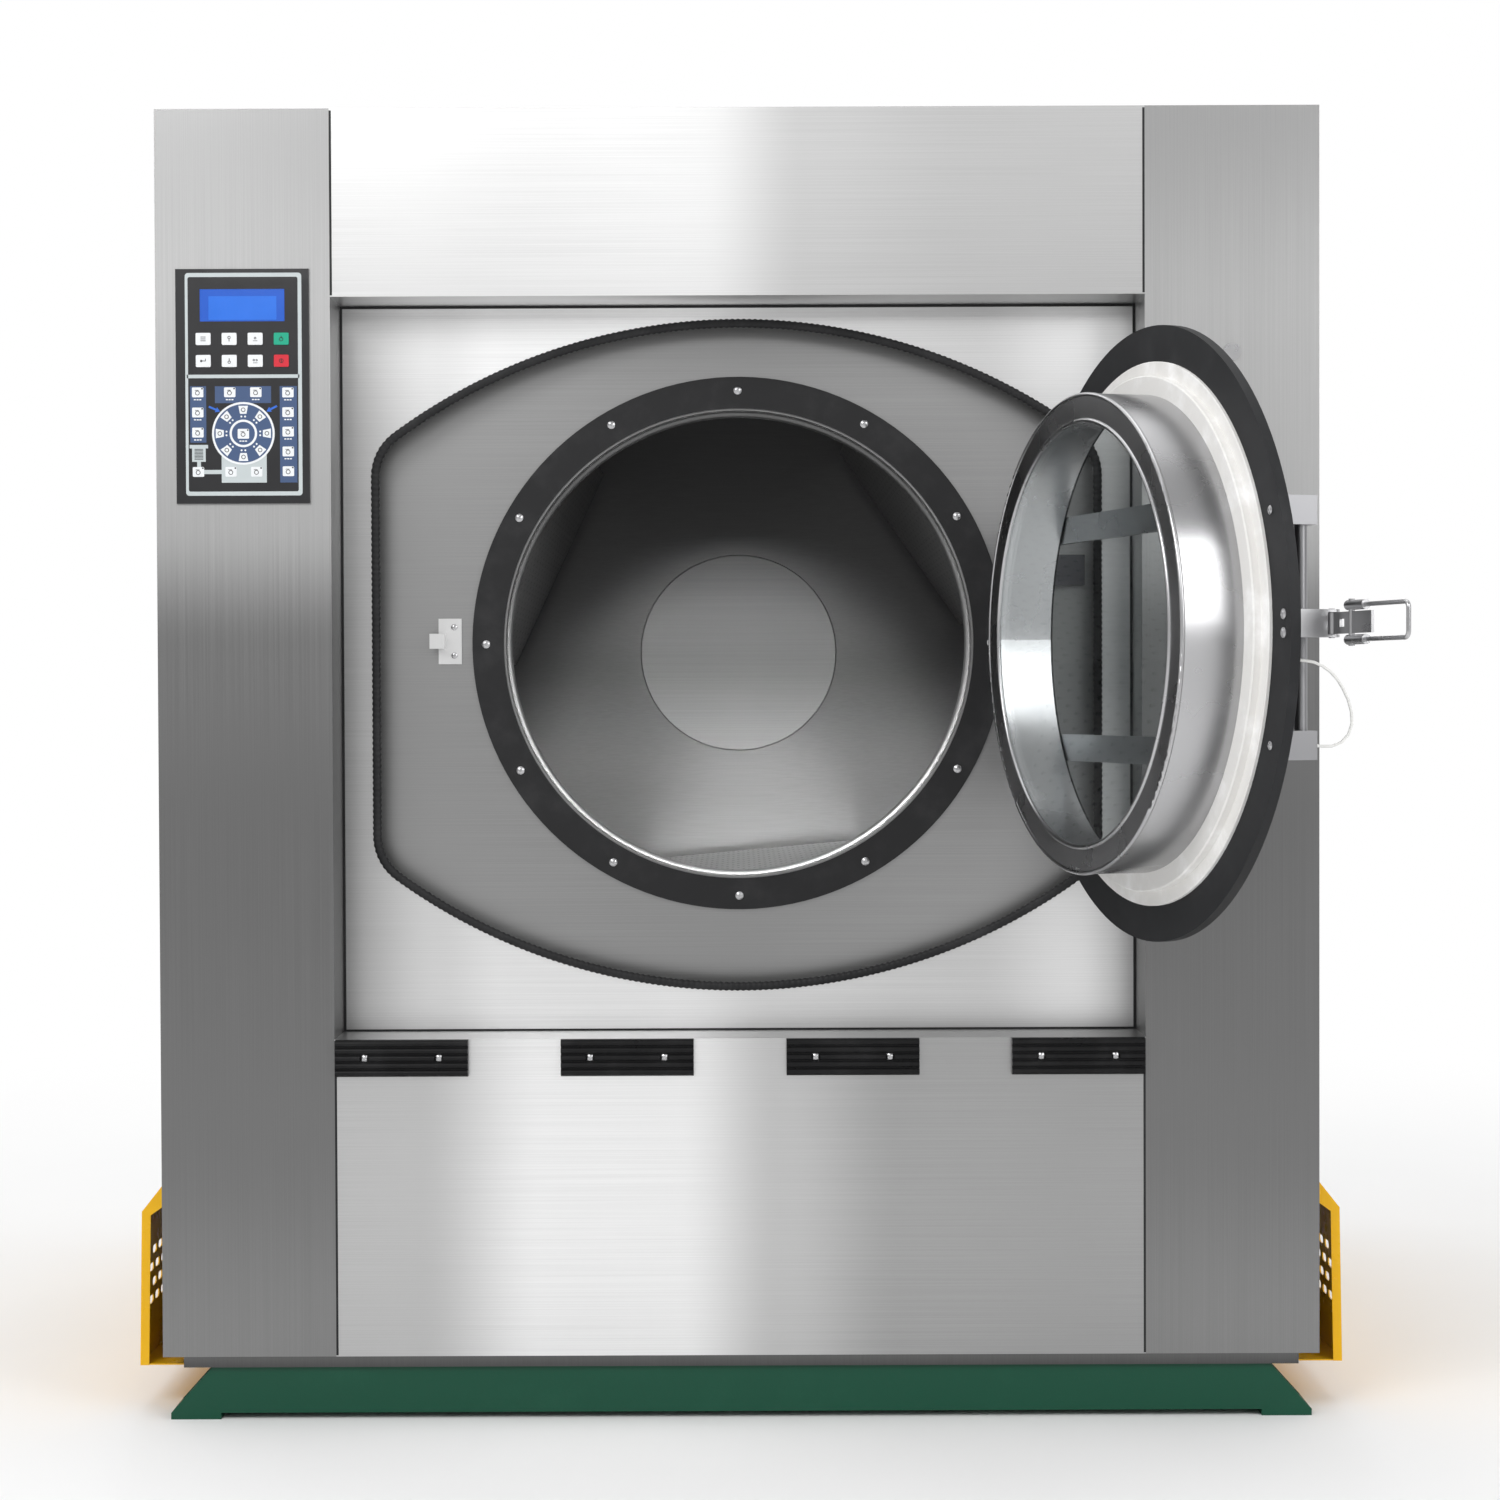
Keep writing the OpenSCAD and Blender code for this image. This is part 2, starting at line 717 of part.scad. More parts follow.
module hinge_brackets() {
    color("#b0b2b4") for (s = [-1, 1]) translate([pivot_x, pivot_y, axis_z + s * arm_z]) {
        for (e = [-1, 1]) translate([0, 0, e * (arm_h / 2 + bracket_gap + bracket_t / 2)])
            linear_extrude(bracket_t, center = true) {
                circle(r = knuckle_r, $fn = 64);
                translate([-knuckle_r, 0]) square([2 * knuckle_r, pivot_fwd - 3]);
            }
        box([-25, pivot_fwd - 6, -arm_h / 2 - 25], [25, pivot_fwd, arm_h / 2 + 25]);
        cylinder(r = hinge_pin_r, h = arm_h + 2 * bracket_t + 10, center = true, $fn = 48);
    }
}

module door_switch() {
    w = 55;
    h = 48;
    color("#4a4c4f") translate([pivot_x + 55, tub_y, axis_z + 115]) {
        box([-w / 2, -30, -h / 2], [w / 2, 0, h / 2]);
        translate([-w / 2 + 16, 0, 0]) y_cyl(9, -36, -30, 48);
        for (s = [-1, 1]) translate([w / 2 - 8, 0, s * 16]) y_cyl(4, -32, -30, 32);
    }
}

// A saddle plate that holds the tub's underside, standing on the cradle at y
module saddle(y) {
    half = 500;
    translate([0, y + 6, 0]) rotate([90, 0, 0]) linear_extrude(12) difference() {
        polygon([[-half, beam_top - 1], [half, beam_top - 1], [half, beam_top + 280], [-half, beam_top + 280]]);
        translate([0, axis_z]) circle(r = tub_r, $fn = 240);
    }
}

module cradle() {
    half_beam = beam_w / 2;
    color("#0d5f43") {
        both_ends() box([-cradle_half, -spring_y - half_beam, beam_z], [cradle_half, -spring_y + half_beam, beam_top]);
        both_sides() box([long_beam_x - half_beam, -spring_y, beam_z], [long_beam_x + half_beam, spring_y, beam_top]);
        saddle(-spring_y);
        saddle(tub_back_y - 100);
    }
}

// The bearing housing: a barrel on the tub's back with a flange and six ribs
bearing_r = 80;
bearing_w = 40;
housing_r = 98;
housing_flange_r = 185;

module bearing_housing() {
    y0 = tub_back_y;
    y1 = tub_back_y + housing_len;
    color("#0d5f43") on_axis() {
        y_tube(housing_r, bearing_r + 0.02, y0, y1);
        y_tube(housing_flange_r, bearing_r + 0.02, y0, y0 + 20);
        for (i = [0:5]) rotate([0, i * 60 + 30, 0]) translate([6, 0, 0]) rotate([0, -90, 0])
            linear_extrude(12) polygon([[housing_r - 2, y0 + 19], [housing_flange_r - 4, y0 + 19],
                                        [housing_r + 3, y1 - 20], [housing_r - 2, y1 - 20]]);
    }
}

module bearings() {
    color("#c2c4c6") on_axis() for (y = [tub_back_y + 22, tub_back_y + housing_len - 22 - bearing_w]) {
        y_tube(bearing_r, bearing_r - 12, y, y + bearing_w);
        y_tube(bearing_r - 11, shaft_r + 11, y + 3, y + bearing_w - 3);
        y_tube(shaft_r + 12, shaft_r + run_gap, y, y + bearing_w);
    }
}

module motor_body() {
    y0 = motor_back_y - motor_len;
    y1 = motor_back_y;
    color("#3c4650") difference() {
        union() {
            translate([0, 0, motor_z]) {
                y_cyl(motor_r - 8, y0, y1);
                y_cyl(motor_r, y0, y0 + 60);
                y_cyl(motor_r, y1 - 30, y1);
                for (i = [0:23]) rotate([0, i * 15 + 7.5, 0])
                    box([-2, y0 + 59, motor_r - 10], [2, y1 - 29, motor_r - 1]);
            }
            box([-70, y0 + 70, motor_z], [70, y1 - 40, beam_z - pad_t]);
            box([-long_beam_x - beam_w / 2, y0 + 70, beam_z - pad_t], [long_beam_x + beam_w / 2, y1 - 40, beam_z]);
            box([motor_r - 12, y0 + 150, motor_z - 50], [motor_r + 55, y0 + 270, motor_z + 50]);
        }
        translate([0, 0, motor_z]) y_cyl(motor_shaft_r + run_gap, y1 - 50, y1 + cut_through, 48);
    }
}

// A belt pulley with a groove for each belt
module grooved_rim(r, depth) {
    first = pulley_w / 2 - (belt_n - 1) * belt_pitch / 2;
    difference() {
        y_cyl(r + belt_t, 0, pulley_w, 180);
        for (i = [0:belt_n - 1])
            y_tube(r + belt_t + cut_through, r, first + i * belt_pitch - belt_w / 2 - belt_gap,
                   first + i * belt_pitch + belt_w / 2 + belt_gap, 180);
        if (depth > 0) y_cyl(r - depth, -cut_through, pulley_w + cut_through, 180);
    }
}

module drum_pulley() {
    hub_r = 80;
    rim = 22;
    color("#5a5f63") on_axis() difference() {
        translate([0, pulley_y, 0]) {
            grooved_rim(big_pulley_r, rim);
            y_cyl(hub_r, 0, pulley_w);
            for (i = [0:5]) rotate([0, i * 60, 0])
                box([-22, 24, hub_r - 5], [22, 46, big_pulley_r - rim + 2]);
        }
        y_cyl(shaft_r + 0.02, pulley_y - cut_through, pulley_y + pulley_w + cut_through);
    }
}

module motor_pulley() {
    color("#70757a") translate([0, 0, motor_z]) {
        y_cyl(motor_shaft_r, motor_back_y - 45, pulley_y + pulley_w + 12, 48);
        translate([0, pulley_y, 0]) grooved_rim(small_pulley_r, 0);
    }
}

// The area inside a belt that runs round both pulleys, each pulley's radius being grown by g
module belt_area(g) {
    r1 = big_pulley_r + g;
    r2 = small_pulley_r + g;
    lean = asin((r1 - r2) / pulley_gap);
    circle(r = r1, $fn = 180);
    translate([0, -pulley_gap]) circle(r = r2, $fn = 96);
    polygon([[r1 * cos(lean), -r1 * sin(lean)], [r2 * cos(lean), -pulley_gap - r2 * sin(lean)],
             [-r2 * cos(lean), -pulley_gap - r2 * sin(lean)], [-r1 * cos(lean), -r1 * sin(lean)]]);
}

module drive_belts() {
    first = pulley_y + pulley_w / 2 - (belt_n - 1) * belt_pitch / 2;
    color("#1d1d1f") on_axis() for (i = [0:belt_n - 1])
        translate([0, first + i * belt_pitch + belt_w / 2, 0]) rotate([90, 0, 0])
            linear_extrude(belt_w) difference() {
                belt_area(belt_gap + belt_t);
                belt_area(belt_gap);
            }
}

// The drain valve under the tub: a neck, a round body with its actuator, and the outlet
drain_top = axis_z - tub_r;
drain_low = beam_z - 110;
drain_spigot = 50;
drain_ball_r = drain_r + 17;

module drain_valve() {
    ball_z = drain_top - 100;
    sleeve_z = drain_low + drain_spigot;
    color("#6d7275") difference() {
        union() {
            translate([0, drain_y, ball_z]) cylinder(r = drain_r + 5, h = drain_top + 12 - ball_z);
            translate([0, drain_y, ball_z]) sphere(r = drain_ball_r, $fn = 64);
            translate([0, drain_y, ball_z - 60]) cylinder(r = drain_r + 12, h = 16);
            translate([0, drain_y, drain_low]) cylinder(r = drain_r, h = ball_z - drain_low);
            translate([0, drain_y, sleeve_z]) cylinder(r = drain_r + 5, h = ball_z - sleeve_z);
            translate([drain_ball_r - 6, drain_y, ball_z]) rotate([0, 90, 0]) cylinder(r = 26, h = 130);
            translate([drain_ball_r + 20, drain_y, ball_z]) rotate([0, 90, 0]) cylinder(r = 40, h = 70);
        }
        translate([0, drain_y, drain_low - cut_through]) cylinder(r = drain_r - 4, h = drain_top + 40 - drain_low);
        on_axis() y_cyl(tub_r, drain_y - 100, drain_y + 100, 180);
    }
}

// ---------------------------------------------------------------- drum

drum_in_r = drum_r - drum_t;
hub_y = drum_back_y - back_dish;

module drum_wall() {
    color("#8d8f92") on_axis() y_tube(drum_r, drum_in_r, drum_wall_y, drum_back_y, 180);
}

module drum_front() {
    color("#97999c") on_axis() {
        y_tube(drum_r, mouth_r + bead_r, drum_y, drum_wall_y, 180);
        y_torus(mouth_r + bead_r, bead_r, drum_y + drum_t / 2);
    }
}

module drum_back() {
    color("#6c6e73") on_axis() y_turn([
        [0, hub_y - 4], [hub_disc_r, hub_y - 4], [hub_disc_r + 2, hub_y], [drum_in_r - 1, drum_back_y],
        [drum_r, drum_back_y], [drum_r, drum_back_y + 4], [drum_in_r - 1, drum_back_y + 4],
        [hub_disc_r + 2, hub_y + 4], [0, hub_y + 4]], 180);
}

lifter_top_r = mouth_r + 11;
lifter_t = 3;
lifter_y0 = drum_wall_y + 8;
lifter_y1 = hub_y - 20;

// A lifter's section: a trapezium from the drum wall to its flat top, which is shrunk by inset
module lifter_section(inset) {
    intersection() {
        polygon([[-lifter_foot_w / 2 + inset * 1.2, -drum_r], [-lifter_top_w / 2 + inset * 1.2, -lifter_top_r - inset],
                 [lifter_top_w / 2 - inset * 1.2, -lifter_top_r - inset], [lifter_foot_w / 2 - inset * 1.2, -drum_r]]);
        circle(r = drum_in_r - 0.1, $fn = 180);
    }
}

module lifters() {
    color("#85878a") on_axis() for (i = [0:2]) rotate([0, i * 120 - lifter_turn, 0])
        translate([0, lifter_y1, 0]) rotate([90, 0, 0]) difference() {
            linear_extrude(lifter_y1 - lifter_y0) lifter_section(0);
            translate([0, 0, lifter_t]) linear_extrude(lifter_y1 - lifter_y0 - 2 * lifter_t) intersection() {
                lifter_section(lifter_t);
                circle(r = drum_in_r - lifter_t, $fn = 180);
            }
        }
}

module drum_shaft() {
    color("#9fa2a5") on_axis() {
        y_cyl(shaft_r, hub_y + 4, pulley_y + pulley_w + 14);
        y_cyl(150, hub_y + 4, hub_y + 30);
    }
}

// ---------------------------------------------------------------- door

// Pieces turned about the door's own centre
module on_door_centre() {
    on_door() translate([-pivot_x, 0, 0]) children();
}

module door_flange() {
    color("#2a2c2e") on_door_centre() difference() {
        union() {
            y_tube(flange_r, plug_r - plug_t, flange_in - flange_t, flange_in, 180);
            y_tube(flange_r, flange_r - 3, flange_in - rim_d, flange_in, 180);
        }
        for (s = [-1, 1])
            box([flange_r * 0.7, flange_in - rim_d - cut_through, s * arm_z - arm_h / 2 - 1],
                [flange_r + 10, flange_in - flange_t, s * arm_z + arm_h / 2 + 1]);
    }
}

module door_ring() {
    y0 = flange_in;
    y1 = flange_in + plug_len;
    color("#b5b7b9") on_door_centre() {
        y_tube(plug_r, plug_r - plug_t, y0, y1, 180);
        y_tube(plug_r, glass_open_r, y1 - 3, y1, 180);
        y_torus(glass_open_r + 2, 3.5, y1 - 1);
        y_torus(plug_r - 2, 3.5, y1 - 2);
    }
}

module door_glass() {
    y1 = flange_in + plug_len - 5;
    color("#d8e6ea", 0.35) on_door_centre() y_cyl(plug_r - plug_t - 4, y1 - glass_t, y1, 180);
}

module door_seal() {
    color("#ecebe8") on_door_centre() y_turn([
        [plug_r, flange_in], [seal_r, flange_in], [seal_r, flange_in + seal_t - 1], [seal_r - 1, flange_in + seal_t],
        [seal_step_r, flange_in + seal_t], [seal_step_r, flange_in + 15], [seal_step_r - 2, flange_in + 17],
        [plug_r, flange_in + 17]], 180);
}

// A hinge arm: a flat strap across the door's outer side that cranks to its knuckle
module hinge_arms() {
    y0 = flange_in - flange_t - 10;
    y1 = flange_in - flange_t;
    end = -(pivot_x + flange_r - 82);
    color("#a9abad") on_door() for (s = [-1, 1]) translate([0, 0, s * arm_z]) difference() {
        linear_extrude(arm_h, center = true) {
            circle(r = knuckle_r, $fn = 64);
            polygon([[end, y0], [-46, y0], [-16, -8], [-10, 15], [5, 17], [0, y1], [end, y1]]);
        }
        cylinder(r = hinge_pin_r + run_gap, h = arm_h + 2, center = true, $fn = 48);
    }
}

handle_out = 12.5;
handle_block_w = 30;
handle_block_h = 38;

module door_handle() {
    color("#a6a8aa") on_door() translate([-handle_s, 0, 0]) {
        for (s = [-1, 1]) box([-handle_block_w / 2, -handle_out - 16, s * handle_len / 2 - handle_block_h / 2],
                              [handle_block_w / 2, flange_in - flange_t, s * handle_len / 2 + handle_block_h / 2]);
        translate([0, -handle_out, 0]) cylinder(r = handle_r, h = handle_len - 2, center = true, $fn = 48);
    }
}

// The latch's base: a block on the flange with two ears and the lever's pin
module latch_base() {
    color("#b4b6b8") on_door() translate([-latch_s, 0, latch_z]) {
        difference() {
            union() {
                box([-10, -latch_out, -base_half], [10, flange_in - flange_t, base_half]);
                translate([0, -latch_out, 0]) cylinder(r = 10, h = 2 * base_half, center = true, $fn = 48);
            }
            box([-12, -latch_out - 12, -lever_half - slip_gap], [12, -latch_out + 11, lever_half + slip_gap]);
        }
        translate([0, -latch_out, 0]) cylinder(r = latch_pin_r, h = 2 * base_half + 2, center = true, $fn = 32);
    }
}

// The lever: a slotted plate with a knuckle, and the cross pin that carries the bail
module latch_lever() {
    plate_t = 4;
    color("#c4c6c8") on_door() translate([-latch_s, -latch_out, latch_z]) {
        difference() {
            union() {
                box([-lever_len, -plate_t / 2, -lever_half], [-6, plate_t / 2, lever_half]);
                cylinder(r = 8, h = 2 * lever_half, center = true, $fn = 48);
            }
            cylinder(r = latch_pin_r + run_gap, h = 2 * lever_half + 2, center = true, $fn = 32);
            box([-36, -plate_t, -5], [-24, plate_t, 5]);
        }
        translate([-bail_offset, 0, 0]) cylinder(r = latch_pin_r, h = 2 * (bail_half + 8), center = true, $fn = 32);
    }
}

// The bail: a U of round rod between two threaded barrels
module latch_bail() {
    barrel_r = 6.5;
    barrel_len = 46;
    bend = 8;
    color("#cccecf") on_door() translate([-latch_s - bail_offset, -latch_out, latch_z]) {
        for (s = [-1, 1]) translate([0, 0, s * bail_half]) {
            difference() {
                translate([9, 0, 0]) rotate([0, -90, 0]) cylinder(r = barrel_r, h = barrel_len, $fn = 32);
                cylinder(r = latch_pin_r + run_gap, h = 4 * barrel_r, center = true, $fn = 32);
            }
            translate([-30, 0, 0]) rotate([0, -90, 0]) cylinder(r = bail_r, h = bail_len - bend - 30, $fn = 32);
            translate([-bail_len + bend, 0, -s * bend]) rotate([90, 0, 0]) rotate([0, 0, s > 0 ? 90 : 180])
                rotate_extrude(angle = 90, $fn = 48) translate([bend, 0]) circle(r = bail_r, $fn = 32);
        }
        translate([-bail_len, 0, 0]) cylinder(r = bail_r, h = 2 * (bail_half - bend), center = true, $fn = 32);
    }
}

module door_screws() {
    h = 4;
    color("#cfd1d3") on_door() {
        for (s = [-1, 1]) {
            translate([-handle_s, flange_in, s * handle_len / 2]) rotate([0, 0, 180]) screw_head(6, h, 0);
            translate([-latch_s, flange_in, latch_z + s * 12]) rotate([0, 0, 180]) screw_head(7, h, 0);
            for (x = [-pivot_x + 345, -pivot_x + 395, -pivot_x - 345])
                translate([x, flange_in - flange_t - 10, s * arm_z]) screw_head(6, h, 0);
        }
    }
}

// The thin tube from the flange below the latch down to the handle's lower block, in the door's frame
tube_r = 2;
tube_sides = 8;
tube_route = [
    [0, 27, -42], [0, 14, -42], [0, 0, -43], [1, -13, -45], [2, -26, -50], [4, -38, -57], [7, -49, -66],
    [10, -59, -78], [14, -69, -93], [18, -76, -109], [22, -79, -125], [26, -76, -139], [30, -68, -149],
    [33, -56, -154], [35, -43, -154], [36, -33, -153], [36, -28.6, -153]
];
tube_drop = handle_len / 305;
tube_points = [for (p = tube_route) [p[0] - latch_s, p[1], p[2] * tube_drop]];
function unit(v) = v / norm(v);
function heading(i) = unit(tube_points[min(i + 1, len(tube_points) - 1)] - tube_points[max(i - 1, 0)]);
function tube_ring(i) =
    let (u = unit(cross(heading(i), [1, 0, 0])), v = cross(heading(i), u))
    [for (j = [0:tube_sides - 1]) tube_points[i] + tube_r * (cos(360 * j / tube_sides) * u + sin(360 * j / tube_sides) * v)];

module latch_tube() {
    n = tube_sides;
    rings = len(tube_points);
    points = [for (i = [0:rings - 1]) each tube_ring(i)];
    walls = [for (i = [0:rings - 2], j = [0:n - 1])
        [i * n + j, i * n + (j + 1) % n, (i + 1) * n + (j + 1) % n, (i + 1) * n + j]];
    caps = [[for (j = [n - 1:-1:0]) j], [for (j = [0:n - 1]) (rings - 1) * n + j]];
    color("#f4f4f2") on_door() polyhedron(points = points, faces = concat(walls, caps), convexity = 4);
}

// ---------------------------------------------------------------- drawing

base_frame();
cabinet_frame();
left_column();
right_column();
header_panel();
front_panel();
cutout_trim();
lower_panel();
left_side_panel();
right_side_panel();
roof_panel();
rear_panel();
bumper_strips();
cabinet_fixings();
left_guard();
right_guard();
keypad_bezel();
display_window();
key_menu();
key_up();
key_f1();
key_start();
key_enter();
key_down();
key_f2();
key_stop();
springs();
damper_bodies();
tub_shell();
tub_front();
gasket_ring();
tub_screws();
door_keeper();
hinge_brackets();
door_switch();
cradle();
bearing_housing();
bearings();
motor_body();
drive_belts();
drain_valve();
damper_rods();
drum_wall();
drum_front();
drum_back();
lifters();
drum_shaft();
drum_pulley();
motor_pulley();
door_flange();
door_ring();
door_glass();
door_seal();
hinge_arms();
door_handle();
latch_base();
latch_tube();
door_screws();
latch_lever();
latch_bail();
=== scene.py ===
import json
import math

import bmesh
import bpy
from bpy.props import FloatProperty, FloatVectorProperty, IntProperty, PointerProperty
from mathutils import Matrix, Vector


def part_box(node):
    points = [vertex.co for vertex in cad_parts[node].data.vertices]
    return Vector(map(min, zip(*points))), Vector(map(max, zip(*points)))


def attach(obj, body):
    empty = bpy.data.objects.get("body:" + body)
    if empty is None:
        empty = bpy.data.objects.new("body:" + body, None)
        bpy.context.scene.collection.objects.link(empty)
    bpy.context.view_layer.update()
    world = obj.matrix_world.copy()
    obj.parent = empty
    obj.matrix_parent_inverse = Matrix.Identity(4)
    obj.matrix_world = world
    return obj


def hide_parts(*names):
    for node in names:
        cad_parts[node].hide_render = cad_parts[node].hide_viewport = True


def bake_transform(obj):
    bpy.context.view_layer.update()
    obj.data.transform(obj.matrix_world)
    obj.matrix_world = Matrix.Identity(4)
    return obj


bl_info = {
    "name": "Front-loading laundry machine",
    "version": (1, 0, 0),
    "blender": (4, 5, 0),
    "location": "View3D > Sidebar > Laundry",
    "description": "Finishes and fine pieces for an industrial front-loading laundry machine",
    "category": "Object",
}

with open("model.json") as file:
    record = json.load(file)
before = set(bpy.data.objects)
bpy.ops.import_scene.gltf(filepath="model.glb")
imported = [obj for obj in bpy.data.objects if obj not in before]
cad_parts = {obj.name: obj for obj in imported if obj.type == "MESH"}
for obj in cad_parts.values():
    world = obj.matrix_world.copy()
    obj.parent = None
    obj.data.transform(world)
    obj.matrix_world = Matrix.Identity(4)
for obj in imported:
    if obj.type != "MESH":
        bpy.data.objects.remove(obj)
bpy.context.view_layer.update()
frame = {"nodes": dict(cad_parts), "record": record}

MM = 0.001


def node_centre(name):
    """The middle of a CAD node's box."""
    low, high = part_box(name)
    return Vector([(a + b) / 2 for a, b in zip(low, high)])


def joint_of(name):
    """A joint's row in the record."""
    return next(j for j in frame["record"]["behaviour"]["joints"] if j["name"] == name)


# The places that everything else is worked out from, in metres
FRONT_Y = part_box("header_panel")[0][1]
CABINET_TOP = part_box("header_panel")[1][2]
HALF_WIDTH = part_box("right_column")[1][0]
COLUMN_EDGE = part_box("right_column")[0][0]
LEDGE_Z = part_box("lower_panel")[1][2]
HEADER_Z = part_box("header_panel")[0][2]
PANEL_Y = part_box("front_panel")[0][1]
AXIS_Z = node_centre("gasket_ring")[2]
HINGE = Vector(joint_of("door_hinge")["pos_m"])
DOOR_ANGLE = math.radians(-joint_of("door_hinge")["range_deg"][0])
DOOR = Matrix.Translation(HINGE) @ Matrix.Rotation(DOOR_ANGLE, 4, "Z")


# ------------------------------------------------------------------ settings


class LaundryStageSettings(bpy.types.PropertyGroup):
    """The camera and the light."""

    camera_distance: FloatProperty(
        name="Camera distance", description="From the camera to the cabinet's front",
        default=4.336, min=2.0, unit="LENGTH")
    camera_height: FloatProperty(
        name="Camera height", description="Height of the camera above the floor",
        default=1.1185, min=0.2, unit="LENGTH")
    camera_tilt: FloatProperty(
        name="Camera tilt", description="How far the camera looks down",
        default=0.0177, subtype="ANGLE")
    lens: FloatProperty(name="Lens", description="Focal length in millimetres", default=67.13, min=20.0)
    floor_size: FloatProperty(
        name="Floor size", description="Width of the studio floor", default=30.0, unit="LENGTH")


class LaundryFinishSettings(bpy.types.PropertyGroup):
    """Colours of the painted and moulded pieces."""

    green: FloatVectorProperty(
        name="Base enamel", description="Paint of the base, cradle and bearing housing",
        subtype="COLOR", size=3, min=0, max=1, default=(0.001, 0.062, 0.032))
    yellow: FloatVectorProperty(
        name="Guard enamel", description="Paint of the two side guards",
        subtype="COLOR", size=3, min=0, max=1, default=(0.93, 0.50, 0.001))
    seal: FloatVectorProperty(
        name="Door seal", description="Rubber of the door's seal",
        subtype="COLOR", size=3, min=0, max=1, default=(0.80, 0.79, 0.77))
    legend_blue: FloatVectorProperty(
        name="Legend blue", description="Print of the lower keypad",
        subtype="COLOR", size=3, min=0, max=1, default=(0.045, 0.085, 0.19))


class LaundryPieceSettings(bpy.types.PropertyGroup):
    """Sizes of the fine pieces."""

    trim_rib: FloatProperty(
        name="Trim rib pitch", description="Distance between the ribs of the cut-out's rubber trim",
        default=0.009, min=0.004, unit="LENGTH")
    hole_pitch: FloatProperty(
        name="Hole pitch", description="Distance between the drum's perforations",
        default=0.032, min=0.02, unit="LENGTH")
    hole_r: FloatProperty(
        name="Hole radius", description="Radius of a perforation", default=0.0035, min=0.001, unit="LENGTH")
    coil_sides: IntProperty(
        name="Spring sides", description="Sides of a spring's wire", default=12, min=6)


def stage_settings():
    return bpy.context.scene.laundry_stage


def finish_settings():
    return bpy.context.scene.laundry_finish


def piece_settings():
    return bpy.context.scene.laundry_pieces


# ------------------------------------------------------------------ materials


class Shader:
    """Builds one node material around a Principled shader."""

    def __init__(self, name, color=(0.5, 0.5, 0.5), metallic=0.0, rough=0.5, **sockets):
        self.mat = bpy.data.materials.new(name)
        self.mat.use_nodes = True
        self.nt = self.mat.node_tree
        self.bsdf = self.nt.nodes["Principled BSDF"]
        self.set("Base Color", (*color, 1.0))
        self.set("Metallic", metallic)
        self.set("Roughness", rough)
        for key, value in sockets.items():
            self.set(key.replace("_", " "), value)
        self.coord = self.add("ShaderNodeTexCoord")

    def add(self, kind, **values):
        node = self.nt.nodes.new(kind)
        for key, value in values.items():
            setattr(node, key, value)
        return node

    def set(self, socket, value):
        names = {s.name.lower(): s for s in self.bsdf.inputs}
        names[socket.lower()].default_value = value

    def link(self, source, target):
        self.nt.links.new(source, target)

    def noise(self, scale, stretch=(1, 1, 1), detail=4.0, rough=0.55):
        """Noise over the object's own coordinates, stretched per axis."""
        mapping = self.add("ShaderNodeMapping")
        mapping.inputs["Scale"].default_value = stretch
        self.link(self.coord.outputs["Object"], mapping.inputs["Vector"])
        node = self.add("ShaderNodeTexNoise")
        node.inputs["Scale"].default_value = scale
        node.inputs["Detail"].default_value = detail
        node.inputs["Roughness"].default_value = rough
        self.link(mapping.outputs["Vector"], node.inputs["Vector"])
        return node.outputs["Fac"]

    def ramp(self, fac, stops, interpolation="EASE"):
        """A grey or coloured ramp. Each stop is (place, value or colour)."""
        node = self.add("ShaderNodeValToRGB")
        node.color_ramp.interpolation = interpolation
        elements = node.color_ramp.elements
        while len(elements) < len(stops):
            elements.new(0.5)
        for element, (place, value) in zip(elements, stops):
            element.position = place
            rgb = value if isinstance(value, tuple) else (value, value, value)
            element.color = (*rgb, 1.0)
        self.link(fac, node.inputs["Fac"])
        return node.outputs["Color"]

    def along(self, axis, low, high, stops):
        """A ramp over one of the object's axes, from low to high in metres."""
        split = self.add("ShaderNodeSeparateXYZ")
        self.link(self.coord.outputs["Object"], split.inputs["Vector"])
        span = self.add("ShaderNodeMapRange")
        span.inputs["From Min"].default_value = low
        span.inputs["From Max"].default_value = high
        self.link(split.outputs[axis], span.inputs["Value"])
        return self.ramp(span.outputs["Result"], stops)

    def multiply(self, *colors):
        """All the colours multiplied together."""
        result = colors[0]
        for color in colors[1:]:
            mix = self.add("ShaderNodeMix", data_type="RGBA", blend_type="MULTIPLY")
            mix.inputs["Factor"].default_value = 1.0
            self.link(result, mix.inputs["A"])
            self.link(color, mix.inputs["B"])
            result = mix.outputs["Result"]
        return result

    def between(self, fac, a, b):
        """A mix of two plain colours by a factor."""
        mix = self.add("ShaderNodeMix", data_type="RGBA")
        mix.inputs["A"].default_value = (*a, 1.0)
        mix.inputs["B"].default_value = (*b, 1.0)
        self.link(fac, mix.inputs["Factor"])
        return mix.outputs["Result"]

    def colour(self, color):
        self.link(color, self.bsdf.inputs["Base Color"])

    def roughness(self, fac, low, high):
        node = self.add("ShaderNodeMapRange")
        node.inputs["To Min"].default_value = low
        node.inputs["To Max"].default_value = high
        self.link(fac, node.inputs["Value"])
        self.link(node.outputs["Result"], self.bsdf.inputs["Roughness"])

    def bump(self, fac, strength, distance=0.0005):
        node = self.add("ShaderNodeBump")
        node.inputs["Strength"].default_value = strength
        node.inputs["Distance"].default_value = distance
        self.link(fac, node.inputs["Height"])
        self.link(node.outputs["Normal"], self.bsdf.inputs["Normal"])


GRAIN = {"X": (2.0, 600.0, 600.0), "Z": (600.0, 600.0, 2.0), "Y": (600.0, 2.0, 600.0)}


